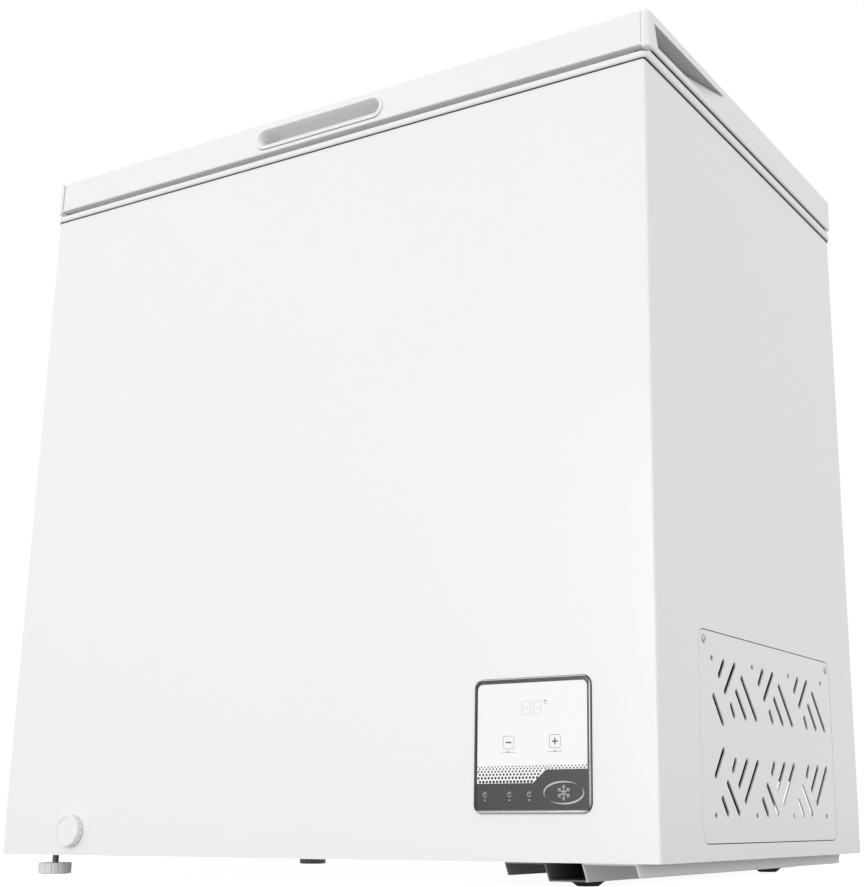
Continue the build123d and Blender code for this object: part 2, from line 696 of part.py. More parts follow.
def terminal_cover():
    """Snap-on cover over the start relay and the terminals."""
    y = (TERMINAL_FRONT, COMPRESSOR_Y - COMPRESSOR_RADIUS + 8)
    cover = plate_xz(COMPRESSOR_X, 80, 56, 50, y, 5)
    cover -= plate_xz(COMPRESSOR_X, 80, 52, 46, (y[0] + 2, y[1] + 1), 3)
    return cover - rod_z(COMPRESSOR_X, COMPRESSOR_Y, (40, 130), COMPRESSOR_RADIUS + 0.2)


def discharge_tube():
    """Hot gas line from the compressor to the condenser behind the wall."""
    start_x = COMPRESSOR_X - math.sqrt(COMPRESSOR_RADIUS**2 - 40**2) + 2
    points = [
        (start_x, COMPRESSOR_Y - 40, 70),
        (start_x - 22, COMPRESSOR_Y - 40, 70),
        (start_x - 22, COMPRESSOR_Y - 80, 70),
        (start_x - 22, COMPRESSOR_Y - 80, 205),
        (WALL_FACE, COMPRESSOR_Y - 80, 205),
    ]
    return pipe(points, 3.0, 12) - compressor()


def suction_tube():
    """Return line from the evaporator to the compressor."""
    start_x = COMPRESSOR_X - math.sqrt(COMPRESSOR_RADIUS**2 - 20**2) + 2
    points = [
        (start_x, COMPRESSOR_Y + 20, 130),
        (start_x - 20, COMPRESSOR_Y + 20, 130),
        (start_x - 20, COMPRESSOR_Y + 20, 222),
        (start_x - 20, COMPRESSOR_Y + 90, 222),
        (WALL_FACE, COMPRESSOR_Y + 90, 222),
    ]
    return pipe(points, 4.0, 14) - compressor()


def filter_drier():
    """Filter drier: a copper cylinder necked down at both ends."""
    body = rod_z(DRIER_X, DRIER_Y, DRIER_Z, 9.5)
    body = fillet(body.edges().group_by(Axis.Z)[-1] + body.edges().group_by(Axis.Z)[0], 6)
    body += rod_z(DRIER_X, DRIER_Y, (DRIER_Z[1] - 1, DRIER_Z[1] + 14), 3)
    return body + rod_z(DRIER_X, DRIER_Y, (DRIER_Z[0] - 10, DRIER_Z[0] + 1), 2.2)


def capillary_tube():
    """Thin tube from the drier, wound in loops before it enters the wall."""
    loop, rise, turns = 26.0, 5.0, 3
    left, right = DRIER_X, DRIER_X + 2 * loop
    near, far = DRIER_Y - 2 * loop, DRIER_Y
    z = DRIER_Z[0] - 24
    points = [(DRIER_X, DRIER_Y, DRIER_Z[0] - 10), (DRIER_X, DRIER_Y, z)]
    for _ in range(turns):
        points.append((right, far, z - rise * 0.25))
        points.append((right, near, z - rise * 0.5))
        points.append((left, near, z - rise * 0.75))
        z -= rise
        points.append((left, far, z))
    points = points[:-1] + [(left, far + 60, z), (WALL_FACE, far + 60, z)]
    return pipe(points, 1.1, 6)


def wiring_loom():
    """Cable from the control housing to the compressor terminals."""
    start = OVERLAY_REAR + HOUSING_DEPTH
    points = [
        (PANEL_X, start, PANEL_Z - 20),
        (PANEL_X, start + 45, PANEL_Z - 20),
        (PANEL_X - 8, start + 95, 60),
        (PANEL_X - 8, -20, 60),
        (COMPRESSOR_X, 5, 78),
        (COMPRESSOR_X, TERMINAL_FRONT, 78),
    ]
    return pipe(points, 3.5, 10)


def condenser_coil():
    """Condenser tube fixed to the inside of the left outer wall."""
    x = -INNER_X + 2.5
    low, high, pitch = 110.0, 730.0, 62.0
    points = [(x, -220, low)]
    y = -220.0
    for run in range(8):
        z = high if run % 2 == 0 else low
        points.append((x, y, z))
        if run < 7:
            y += pitch
            points.append((x, y, z))
    return pipe(points, 2.4, 22)


def evaporator_coil():
    """Evaporator tube wound around the liner, inside the foam."""
    gap = SHEET + 2.6
    left, right = -CAVITY_X - gap, CAVITY_X + gap
    near, far = CAVITY_FRONT - gap, CAVITY_REAR + gap
    z, pitch = 330.0, 66.0
    points = [(0, far, z), (right, far, z)]
    for _ in range(6):
        points += [(right, near, z), (left, near, z), (left, far, z)]
        z += pitch
        points += [(right, far, z)]
    return pipe(points[:-1], 2.4, 26)


def cable_gland():
    """Hexagonal gland for the mains cord, screwed through the rear sheet."""
    plane = Plane((GLAND_X, PANEL_REAR, GLAND_Z), x_dir=(1, 0, 0), z_dir=(0, 1, 0))
    gland = extrude(plane * RegularPolygon(11, 6), 5)
    gland += rod_y(GLAND_X, GLAND_Z, (PANEL_REAR + 4.9, PANEL_REAR + 13), 8.5)
    gland += rod_y(GLAND_X, GLAND_Z, (INNER_REAR - 9, PANEL_REAR), GLAND_RADIUS)
    inner_nut = Plane((GLAND_X, INNER_REAR - 5, GLAND_Z), x_dir=(1, 0, 0), z_dir=(0, 1, 0))
    gland += extrude(inner_nut * RegularPolygon(11, 6), 5)
    return gland - rod_y(GLAND_X, GLAND_Z, (INNER_REAR - 15, REAR + 20), 4)


def rear_spacers():
    """Plastic stand-offs that keep an air gap to the wall behind."""
    shapes = []
    for x in (-330, 330):
        foot = plate_xz(x, 640, 36, 60, (PANEL_REAR, PANEL_REAR + 3), 5)
        post = plate_xz(x, 640, 22, 42, (PANEL_REAR + 2.9, REAR + REAR_PROUD), 8)
        hollow = plate_xz(x, 640, 16, 36, (PANEL_REAR + 5, REAR + REAR_PROUD + 1), 5)
        rib = block((x - 8, x + 8), (PANEL_REAR + 4, REAR + REAR_PROUD - 2), (639, 641))
        shapes.append(foot + post - hollow + rib)
    return Compound(children=shapes)


# ---- drain -----------------------------------------------------------------
def drain_elbow():
    """Elbow in the foam from the liner floor to the front."""
    inner = DRAIN_TUBE_RADIUS + RUNNING_CLEARANCE
    elbow = rod_y(DRAIN_X, DRAIN_Z, (FRONT, DRAIN_FLOOR_Y + 12), 9.5)
    elbow += rod_z(DRAIN_X, DRAIN_FLOOR_Y, (DRAIN_Z - 11, CAVITY_FLOOR - SHEET), 11)
    elbow -= rod_z(DRAIN_X, DRAIN_FLOOR_Y, (DRAIN_Z - 1, CAVITY_FLOOR + 1), PLUG_HOLE_RADIUS)
    return elbow - rod_y(DRAIN_X, DRAIN_Z, (FRONT - 1, DRAIN_FLOOR_Y + 8), inner)


def drain_tube():
    """Spout that pulls out of the front to drain the meltwater."""
    tube = rod_y(DRAIN_X, DRAIN_Z, (FRONT - DRAIN_TUBE_PROUD, DRAIN_FLOOR_Y - 12), DRAIN_TUBE_RADIUS)
    return tube - rod_y(DRAIN_X, DRAIN_Z, (FRONT - 9, DRAIN_FLOOR_Y), DRAIN_TUBE_RADIUS - 1.5)


def drain_cap():
    """Ribbed cap on the end of the drain spout, slightly dished, with a raised mark at its top."""
    front = FRONT - FRONT_PROUD
    cap = rod_y(DRAIN_X, DRAIN_Z, (front, FRONT - 0.4), DRAIN_CAP_RADIUS)
    cap = fillet(cap.edges().group_by(Axis.Y)[0], 1.5)
    flutes = []
    for step in range(DRAIN_CAP_RIBS):
        angle = 2 * math.pi * step / DRAIN_CAP_RIBS
        x = DRAIN_X + (DRAIN_CAP_RADIUS + 1.0) * math.cos(angle)
        z = DRAIN_Z + (DRAIN_CAP_RADIUS + 1.0) * math.sin(angle)
        flutes.append(rod_y(x, z, (front + 1.8, FRONT), 2.1))
    cap -= flutes
    cap -= rod_y(DRAIN_X, DRAIN_Z, (front - 1, front + 0.8), DRAIN_CAP_RADIUS - 3)
    mark_z = DRAIN_Z + DRAIN_CAP_RADIUS - 4.2
    mark = [(DRAIN_X - 1.6, mark_z - 2.6), (DRAIN_X + 1.6, mark_z - 2.6), (DRAIN_X, mark_z)]
    cap += prism_y(mark, (front + 0.2, front + 1))
    bore = DRAIN_TUBE_RADIUS + RUNNING_CLEARANCE
    return cap - rod_y(DRAIN_X, DRAIN_Z, (FRONT - DRAIN_TUBE_PROUD, FRONT), bore)


def inner_drain_plug():
    """Stopper in the floor of the storage space."""
    z = CAVITY_FLOOR
    plug = rod_z(DRAIN_X, DRAIN_FLOOR_Y, (z - 14, z + 1), PLUG_HOLE_RADIUS - RUNNING_CLEARANCE)
    plug += rod_z(DRAIN_X, DRAIN_FLOOR_Y, (z, z + 4), 15)
    grip = block(
        (DRAIN_X - 9, DRAIN_X + 9), (DRAIN_FLOOR_Y - 1.5, DRAIN_FLOOR_Y + 1.5), (z + 3, z + 14)
    )
    return plug + grip


# ---- lid -------------------------------------------------------------------
def stadium(width, height, z, y):
    return plate_xz(0, z, width, height, y, height / 2 - 0.01)


def lid_front_profile():
    """Front edge of the lid: a U section, open to the foam."""
    outline = [
        (FRONT, LID_FRONT_BOTTOM),
        (FRONT, HEIGHT),
        (FRONT + 16, HEIGHT),
        (FRONT + 16, HEIGHT - LID_WALL),
        (FRONT + LID_WALL, HEIGHT - LID_WALL),
        (FRONT + LID_WALL, LID_FRONT_BOTTOM + LID_WALL),
        (FRONT + 26, LID_FRONT_BOTTOM + LID_WALL),
        (FRONT + 26, LID_FRONT_BOTTOM),
    ]
    profile = prism_x(outline, (-LID_PROFILE_X, LID_PROFILE_X))
    profile = fillet(profile.edges().filter_by(Axis.X).sort_by(Axis.Y)[:2], 1.5)
    for x in ((-LID_PROFILE_X - 1, -LID_PROFILE_X + 13), (LID_PROFILE_X - 13, LID_PROFILE_X + 1)):
        profile -= block(x, (FRONT + 8, FRONT + 30), (LID_FRONT_BOTTOM - 1, HEIGHT - LID_WALL))
    return profile - stadium(HANDLE_WIDTH - 7, HANDLE_HEIGHT - 4, HANDLE_Z, (FRONT - 1, FRONT + 5))


def handle_insert():
    """Grip cup let into the lid's front, with a raised rounded rim."""
    rim = stadium(HANDLE_WIDTH, HANDLE_HEIGHT, HANDLE_Z, (FRONT - HANDLE_PROUD, FRONT))
    rim = fillet(rim.faces().sort_by(Axis.Y)[0].edges(), 1.0)
    cup = stadium(HANDLE_WIDTH - 7.4, HANDLE_HEIGHT - 4.4, HANDLE_Z, (FRONT - 0.2, FRONT + HANDLE_DEPTH))
    sections = []
    for depth, width, bottom, top in HANDLE_MOUTH:
        plane = Plane((0, FRONT + depth, (bottom + top) / 2), x_dir=(1, 0, 0), z_dir=(0, 1, 0))
        sections.append(plane * RectangleRounded(width, top - bottom, (top - bottom) / 2 - 0.01))
    return rim + cup - loft(sections, ruled=True)


def grip_pocket():
    """Finger pocket of the right end cap; its depth fades out towards the rear."""
    front_y, rear_y, full_y = FRONT + 13, FRONT + 191, FRONT + 119
    outside = LID_SIDE + 1
    plan = [
        (LID_SIDE - GRIP_DEPTH, front_y - 1),
        (LID_SIDE - GRIP_DEPTH, full_y),
        (LID_SIDE, rear_y),
        (outside, rear_y),
        (outside, front_y - 1),
    ]
    depth = prism_z(plan, (800, 840))
    mouth = [(front_y, 834.1), (front_y + 8.2, 810.2), (rear_y, 812.5), (rear_y, 835.6)]
    return depth & prism_x(mouth, (LID_SIDE - 30, outside))


def grip_boss():
    """Inward box of the right end cap around its finger pocket."""
    return block(
        (LID_SIDE - GRIP_DEPTH - 2.5, LID_SIDE - 1), (FRONT + 9, FRONT + 194), (808, 838.5)
    )


def lid_right_cap():
    """Moulded end cap along the right edge of the lid."""
    wall = 3.0
    y = (FRONT - LID_CAP_PROUD, LID_REAR)
    cap = block((LID_PROFILE_X, LID_SIDE), y, (LID_SIDE_BOTTOM, HEIGHT))
    upright = cap.edges().filter_by(Axis.Z).sort_by(lambda e: e.center().X - e.center().Y)[-1]
    cap = fillet(upright, LID_CAP_CORNER)
    edges = cap.edges().filter_by(Axis.Y).sort_by(Axis.X)[-2:]
    cap = fillet(edges, 2.0)
    rear_edge = cap.edges().filter_by(Axis.X).sort_by(lambda e: e.center().Y + e.center().Z)[-1]
    cap = fillet(rear_edge, 5.0)
    cap -= block(
        (LID_PROFILE_X - 1, LID_SIDE - wall),
        (FRONT + wall, LID_REAR - wall),
        (LID_SIDE_BOTTOM + wall, HEIGHT - LID_WALL),
    )
    lip_x = (LID_PROFILE_X - 8, LID_PROFILE_X + 1)
    lip_y = (FRONT + 16.2, LID_REAR - 12.2)
    cap += block(lip_x, lip_y, (HEIGHT - LID_WALL, HEIGHT))
    floor_x = (LID_PROFILE_X - 14, LID_PROFILE_X + 1)
    floor_y = (FRONT + 26.2, LID_REAR - 12.2)
    cap += block(floor_x, floor_y, (LID_SIDE_BOTTOM, LID_SIDE_BOTTOM + wall))
    cap += grip_boss()
    return cap - grip_pocket()


def lid_rear_profile():
    outline = [
        (LID_REAR, LID_FRONT_BOTTOM),
        (LID_REAR, HEIGHT - 4),
        (LID_REAR - 4, HEIGHT),
        (LID_REAR - 12, HEIGHT),
        (LID_REAR - 12, HEIGHT - LID_WALL),
        (LID_REAR - LID_WALL, HEIGHT - LID_WALL),
        (LID_REAR - LID_WALL, LID_FRONT_BOTTOM + LID_WALL),
        (LID_REAR - 12, LID_FRONT_BOTTOM + LID_WALL),
        (LID_REAR - 12, LID_FRONT_BOTTOM),
    ]
    return prism_x(outline, (-LID_PROFILE_X, LID_PROFILE_X))


def lid_top_skin():
    """Painted sheet held under the lips of the lid's edge profiles."""
    return block((-LID_SKIN_X, LID_SKIN_X), LID_SKIN_Y, (LID_SKIN_TOP - SHEET, LID_SKIN_TOP))


def lid_foam():
    foam = block(
        (-LID_SKIN_X, LID_SKIN_X), (LID_SKIN_Y[0], LID_SKIN_Y[1]), (LID_LINER_TOP, LID_SKIN_TOP - SHEET)
    )
    foam -= stadium(HANDLE_WIDTH - 7, HANDLE_HEIGHT - 4, HANDLE_Z, (FRONT, FRONT + HANDLE_DEPTH + 0.2))
    foam -= grip_boss()
    foam -= mirror_x(grip_boss())
    # plug of foam that fills the raised part of the lid liner
    t = LID_LINER_SHEET
    plug = column((-PLUG_X + t, PLUG_X - t), (PLUG_Y[0] + t, PLUG_Y[1] - t), (PLUG_Z + t, LID_LINER_TOP), 24)
    return foam + plug


def lid_liner():
    """Inner lining of the lid, with a raised panel that dips into the cabinet."""
    z = (LID_LINER_BOTTOM, LID_LINER_TOP)
    sheet = block((-LID_SKIN_X + 2, LID_SKIN_X - 2), (LID_SKIN_Y[0], LID_SKIN_Y[1]), z)
    sheet -= grip_boss()
    sheet -= mirror_x(grip_boss())
    dish = column((-PLUG_X, PLUG_X), PLUG_Y, (PLUG_Z, z[1]), 25)
    t = LID_LINER_SHEET
    dish -= column((-PLUG_X + t, PLUG_X - t), (PLUG_Y[0] + t, PLUG_Y[1] - t), (PLUG_Z + t, z[1] + 1), 24)
    hole = column(
        (-PLUG_X + 1, PLUG_X - 1), (PLUG_Y[0] + 1, PLUG_Y[1] - 1), (z[0] - 1, z[1] + 1), 24
    )
    return (sheet - hole) + dish


def lid_gasket():
    """Soft seal with a bellows section, between the lid liner and the rim."""
    def ring(inset, z):
        ring_y = (GASKET_Y[0] + inset, GASKET_Y[1] - inset)
        outer = column((-GASKET_X + inset, GASKET_X - inset), ring_y, z, 12)
        width = 16 - 2 * inset
        inner = column(
            (-GASKET_X + inset + width, GASKET_X - inset - width),
            (GASKET_Y[0] + inset + width, GASKET_Y[1] - inset - width),
            z,
            4,
        )
        return outer - inner

    base = LID_LINER_BOTTOM
    foot = ring(0, (RIM_TOP + 0.4, RIM_TOP + 4))
    return foot + ring(2.5, (RIM_TOP + 3.9, base - 2.9)) + ring(0.5, (base - 3, base))


# ---- hinges ----------------------------------------------------------------
def hinge_bracket(x):
    """Cabinet half: a plate on the rear sheet with two ears around the pin."""
    plate_y = (REAR, REAR + 2)
    plate = block((x - 35, x + 35), plate_y, (730, 789))
    for ear_x in (x - 28, x + 28):
        limits = (ear_x - 1.5, ear_x + 1.5)
        web = [
            (REAR + 1, 745),
            (REAR + 1, 789),
            (REAR + RIM_OVERHANG + 0.8, 791),
            (HINGE_Y - 4.5, HINGE_Z - 5.3),
            (HINGE_Y + BARREL_RADIUS, HINGE_Z),
            (HINGE_Y + 5, 785),
        ]
        plate += prism_x(web, limits)
        plate += rod_x(HINGE_Y, HINGE_Z, limits, BARREL_RADIUS)
        plate -= rod_x(HINGE_Y, HINGE_Z, (ear_x - 2, ear_x + 2), PIN_RADIUS + RUNNING_CLEARANCE)
    for sx in (-1, 1):
        for z in (738, 760):
            plate -= rod_y(x + sx * 18, z, (REAR - 1, REAR + 3), 2.2)
    return plate


def hinge_leaf(x):
    """Lid half: a plate on the rear of the lid with two barrels on the pin."""
    leaf = block((x - 24, x + 24), (LID_REAR, LID_REAR + 2), (809, 840))
    for barrel_x in (x - 17, x + 17):
        limits = (barrel_x - 7, barrel_x + 7)
        arm = [
            (LID_REAR, 809),
            (LID_REAR, 822),
            (LID_REAR + 2, 822),
            (HINGE_Y + 4, HINGE_Z + 5.5),
            (HINGE_Y - 5, HINGE_Z - 3),
        ]
        leaf += prism_x(arm, limits)
        leaf += rod_x(HINGE_Y, HINGE_Z, limits, BARREL_RADIUS)
        bore = PIN_RADIUS + RUNNING_CLEARANCE
        leaf -= rod_x(HINGE_Y, HINGE_Z, (limits[0] - 1, limits[1] + 1), bore)
    for sx in (-1, 1):
        leaf -= rod_y(x + sx * 16, 831, (LID_REAR - 1, LID_REAR + 3), 2.2)
    return leaf


def hinge_pins():
    pins = []
    for x in (-HINGE_X, HINGE_X):
        pin = rod_x(HINGE_Y, HINGE_Z, (x - 32, x + 32), PIN_RADIUS)
        pin += rod_x(HINGE_Y, HINGE_Z, (x - 33, x - 30), 5.8)
        pins.append(pin)
    return Compound(children=pins)


def hinge_springs():
    """Torsion springs on the pins, which carry most of the lid's weight."""
    springs = []
    for x in (-HINGE_X, HINGE_X):
        start = (x - 7.2, HINGE_Y, HINGE_Z)
        coil = Helix(pitch=2.4, height=14.4, radius=5.6, center=start, direction=(1, 0, 0))
        wire = sweep(Plane(coil @ 0, z_dir=coil % 0) * Circle(0.9), path=coil)
        springs.append(wire)
    return Compound(children=springs)


def screw_y(x, z, seat, length):
    """Pan-head screw pointing inwards along -Y."""
    head = fillet(rod_y(x, z, (seat, seat + 2.2), 3.8).edges().group_by(Axis.Y)[-1], 0.9)
    head -= block((x - 2.2, x + 2.2), (seat + 1.4, seat + 3), (z - 0.45, z + 0.45))
    head -= block((x - 0.45, x + 0.45), (seat + 1.4, seat + 3), (z - 2.2, z + 2.2))
    return head + rod_y(x, z, (seat - length, seat + 0.1), 2.2)


def hinge_screws():
    points = [(hx + sx * 18, z) for hx in (-HINGE_X, HINGE_X) for sx in (-1, 1) for z in (738, 760)]
    return Compound(children=[screw_y(x, z, REAR + 2, 2) for x, z in points])


def lid_screws():
    points = [hx + sx * 16 for hx in (-HINGE_X, HINGE_X) for sx in (-1, 1)]
    return Compound(children=[screw_y(x, 831, LID_REAR + 2, 2) for x in points])


# ---- basket ----------------------------------------------------------------
def basket_hook(x, edge_y, inward):
    """Bent wire from the basket's top frame up and over the rim's ledge."""
    hook_z = LEDGE_Z + 2.8
    points = [
        (x, edge_y, BASKET_TOP),
        (x, edge_y, hook_z),
        (x, edge_y - inward * 16, hook_z),
    ]
    return pipe(points, FRAME_WIRE, 4)


def wire_basket():
    """Hanging wire basket with hooks over the front and rear ledges."""
    thick, thin = FRAME_WIRE, MESH_WIRE
    x = (BASKET_LEFT, BASKET_RIGHT)
    y = (BASKET_FRONT, BASKET_REAR)
    wires = []
    for z, radius in ((BASKET_TOP, thick), (BASKET_BOTTOM, thick), (680, thin)):
        for side_y in y:
            wires.append(rod_x(side_y, z, x, radius))
        for side_x in x:
            wires.append(rod_y(side_x, z, y, radius))
        for side_x in x:
            wires += [Pos(side_x, side_y, z) * Sphere(radius) for side_y in y]
    columns = 8
    for step in range(columns + 1):
        wire_x = x[0] + (x[1] - x[0]) * step / columns
        for side_y in y:
            wires.append(rod_z(wire_x, side_y, (BASKET_BOTTOM, BASKET_TOP), thin))
        wires.append(rod_y(wire_x, BASKET_BOTTOM, y, thin))
    rows = 14
    for step in range(1, rows):
        wire_y = y[0] + (y[1] - y[0]) * step / rows
        for side_x in x:
            wires.append(rod_z(side_x, wire_y, (BASKET_BOTTOM, BASKET_TOP), thin))
        wires.append(rod_x(wire_y, BASKET_BOTTOM, x, thin))
    for hook_x in (x[0] + 25, x[1] - 25):
        wires.append(basket_hook(hook_x, y[0], 1))
        wires.append(basket_hook(hook_x, y[1], -1))
    basket = wires[0]
    return basket + wires[1:]


def basket_grips():
    """Two moulded grips clipped over the basket's top wire."""
    grips = []
    middle = (BASKET_LEFT + BASKET_RIGHT) / 2
    for y in (BASKET_FRONT, BASKET_REAR):
        grip = plate_xz(middle, BASKET_TOP, 80, 16, (y - 4.5, y + 4.5), 4)
        bore = rod_x(y, BASKET_TOP, (middle - 50, middle + 50), FRAME_WIRE + RUNNING_CLEARANCE)
        grips.append(grip - bore - grip_slots(middle, y))
    return Compound(children=grips)


def grip_slots(middle, y):
    """Slots that let the basket's upright wires pass into a grip."""
    pitch = (BASKET_RIGHT - BASKET_LEFT) / 8
    half = MESH_WIRE + 0.1
    slots = []
    for n in (-1, 0, 1):
        slot_x = (middle + n * pitch - half, middle + n * pitch + half)
        slots.append(block(slot_x, (y - half, y + half), (760, BASKET_TOP)))
    return slots[0] + slots[1:]


# ---- all sub-parts ----------------------------------------------------------
def build_all():
    right_cap = lid_right_cap()
    parts = {
        "outer_shell": outer_shell(),
        "shell_returns": shell_returns(),
        "rear_panel": rear_panel(),
        "bottom_panel": bottom_panel(),
        "compartment_wall": compartment_wall(),
        "foam_insulation": foam_insulation(),
        "inner_liner": inner_liner(),
        "rim_frame": rim_frame(),
        "panel_bezel": panel_bezel(),
        "panel_overlay": panel_overlay(),
        "panel_housing": panel_housing(),
        "control_board": control_board(),
        "display_module": display_module(),
        "side_grille": side_grille(),
        "grille_screws": grille_screws(),
        "base_tray": base_tray(),
        "foot_rail": foot_rail(),
        "rubber_feet": rubber_feet(),
        "foot_inserts": foot_inserts(),
        "compressor": compressor(),
        "compressor_plate": compressor_plate(),
        "compressor_grommets": compressor_grommets(),
        "compressor_bolts": compressor_bolts(),
        "terminal_cover": terminal_cover(),
        "discharge_tube": discharge_tube(),
        "suction_tube": suction_tube(),
        "filter_drier": filter_drier(),
        "capillary_tube": capillary_tube(),
        "wiring_loom": wiring_loom(),
        "condenser_coil": condenser_coil(),
        "evaporator_coil": evaporator_coil(),
        "cable_gland": cable_gland(),
        "rear_spacers": rear_spacers(),
        "drain_elbow": drain_elbow(),
        "drain_tube": drain_tube(),
        "drain_cap": drain_cap(),
        "inner_drain_plug": inner_drain_plug(),
        "lid_front_profile": lid_front_profile(),
        "lid_rear_profile": lid_rear_profile(),
        "lid_right_cap": right_cap,
        "lid_left_cap": mirror_x(right_cap),
        "lid_top_skin": lid_top_skin(),
        "lid_foam": lid_foam(),
        "lid_liner": lid_liner(),
        "lid_gasket": lid_gasket(),
        "handle_insert": handle_insert(),
        "hinge_bracket_left": hinge_bracket(-HINGE_X),
        "hinge_bracket_right": hinge_bracket(HINGE_X),
        "hinge_leaf_left": hinge_leaf(-HINGE_X),
        "hinge_leaf_right": hinge_leaf(HINGE_X),
        "hinge_pins": hinge_pins(),
        "hinge_springs": hinge_springs(),
        "hinge_screws": hinge_screws(),
        "lid_screws": lid_screws(),
        "wire_basket": wire_basket(),
        "basket_grips": basket_grips(),
    }
    for place, y in FOOT_YS.items():
        parts[f"levelling_foot_{place}"] = levelling_foot(y)
        parts[f"foot_pad_{place}"] = foot_pad(y)
    return parts


os.makedirs("parts", exist_ok=True)
for part_name, part_shape in build_all().items():
    save(part_name, part_shape)
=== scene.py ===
"""Looks of the chest freezer: materials, printed panel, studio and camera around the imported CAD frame."""

import json
import math

import bmesh
import bpy
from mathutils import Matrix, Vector


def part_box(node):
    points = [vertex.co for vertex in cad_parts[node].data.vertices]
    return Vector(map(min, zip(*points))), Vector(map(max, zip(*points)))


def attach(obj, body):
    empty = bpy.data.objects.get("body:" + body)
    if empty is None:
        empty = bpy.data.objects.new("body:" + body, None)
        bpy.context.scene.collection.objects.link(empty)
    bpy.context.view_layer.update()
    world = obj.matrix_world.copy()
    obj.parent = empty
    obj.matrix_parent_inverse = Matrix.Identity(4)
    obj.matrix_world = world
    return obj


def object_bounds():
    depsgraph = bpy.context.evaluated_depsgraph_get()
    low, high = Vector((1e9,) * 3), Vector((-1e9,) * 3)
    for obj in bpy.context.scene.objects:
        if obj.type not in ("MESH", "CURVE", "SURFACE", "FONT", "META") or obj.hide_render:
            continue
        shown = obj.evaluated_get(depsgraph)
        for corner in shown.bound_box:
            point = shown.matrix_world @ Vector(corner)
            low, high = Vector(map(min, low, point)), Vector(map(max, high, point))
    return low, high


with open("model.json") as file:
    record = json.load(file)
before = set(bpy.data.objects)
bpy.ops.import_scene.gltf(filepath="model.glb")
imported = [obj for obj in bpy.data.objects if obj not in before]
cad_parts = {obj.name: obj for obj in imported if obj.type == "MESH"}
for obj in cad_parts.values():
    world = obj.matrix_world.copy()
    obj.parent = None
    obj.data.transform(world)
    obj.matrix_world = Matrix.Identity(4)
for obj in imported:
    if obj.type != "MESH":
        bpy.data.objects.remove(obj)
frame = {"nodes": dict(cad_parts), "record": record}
cad_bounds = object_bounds()
nodes = frame["nodes"]
scene = bpy.context.scene
MM = 0.001


# ---- materials --------------------------------------------------------------
class Shader:
    """One node material, with short calls for the textures that it uses."""

    def __init__(self, name, color, roughness, metallic=0.0, specular=0.5):
        self.material = bpy.data.materials.new(name)
        self.material.use_nodes = True
        self.tree = self.material.node_tree
        self.surface = self.tree.nodes["Principled BSDF"]
        self.set("Base Color", (*color, 1.0))
        self.set("Roughness", roughness)
        self.set("Metallic", metallic)
        self.set("Specular IOR Level", specular)
        self.place = self.tree.nodes.new("ShaderNodeTexCoord").outputs["Object"]

    def set(self, socket, value):
        self.surface.inputs[socket].default_value = value

    def link(self, output, socket):
        self.tree.links.new(output, self.surface.inputs[socket])

    def node(self, kind, **inputs):
        made = self.tree.nodes.new(kind)
        for key, value in inputs.items():
            name = key.replace("_", " ")
            target = made.inputs[name]
            if isinstance(value, bpy.types.NodeSocket):
                self.tree.links.new(value, target)
            else:
                target.default_value = value
        return made

    def stretched(self, x, y, z):
        """Object coordinates scaled by a different amount along each axis."""
        mapping = self.node("ShaderNodeMapping", Vector=self.place)
        mapping.inputs["Scale"].default_value = (x, y, z)
        return mapping.outputs["Vector"]

    def noise(self, scale, detail=2.0, rough=0.5, place=None, distortion=0.0):
        made = self.node(
            "ShaderNodeTexNoise",
            Vector=place or self.place,
            Scale=scale,
            Detail=detail,
            Roughness=rough,
            Distortion=distortion,
        )
        return made.outputs["Fac"]

    def cells(self, scale, feature="F1", output="Distance", place=None):
        made = self.tree.nodes.new("ShaderNodeTexVoronoi")
        made.feature = feature
        made.inputs["Scale"].default_value = scale
        self.tree.links.new(place or self.place, made.inputs["Vector"])
        return made.outputs[output]

    def remap(self, value, low, high, to_low, to_high):
        made = self.tree.nodes.new("ShaderNodeMapRange")
        self.tree.links.new(value, made.inputs["Value"])
        for name, number in zip(("From Min", "From Max", "To Min", "To Max"), (low, high, to_low, to_high)):
            made.inputs[name].default_value = number
        return made.outputs["Result"]

    def blend(self, factor, first, second):
        """Colour between two others, each a tuple or a socket."""
        made = self.tree.nodes.new("ShaderNodeMix")
        made.data_type = "RGBA"
        self.tree.links.new(factor, made.inputs["Factor"])
        for index, value in ((6, first), (7, second)):
            if isinstance(value, bpy.types.NodeSocket):
                self.tree.links.new(value, made.inputs[index])
            else:
                made.inputs[index].default_value = (*value, 1.0)
        return made.outputs[2]

    def shades(self, factor, first, second):
        """Varies the base colour between two tones."""
        self.link(self.blend(factor, first, second), "Base Color")

    def along(self, axis, low, high):
        """Rises from 0 to 1 between two places on an object axis."""
        split = self.node("ShaderNodeSeparateXYZ", Vector=self.place)
        return self.remap(split.outputs[axis], low, high, 0, 1)

    def all_of(self, *masks):
        """Product of several masks."""
        total = masks[0]
        for mask in masks[1:]:
            made = self.tree.nodes.new("ShaderNodeMath")
            made.operation = "MULTIPLY"
            self.tree.links.new(total, made.inputs[0])
            self.tree.links.new(mask, made.inputs[1])
            total = made.outputs[0]
        return total

    def bump(self, height, depth, strength=1.0, after=None):
        made = self.tree.nodes.new("ShaderNodeBump")
        made.inputs["Strength"].default_value = strength
        made.inputs["Distance"].default_value = depth
        self.tree.links.new(height, made.inputs["Height"])
        if after is not None:
            self.tree.links.new(after, made.inputs["Normal"])
        return made.outputs["Normal"]

    def coat(self, weight, roughness):
        self.set("Coat Weight", weight)
        self.set("Coat Roughness", roughness)


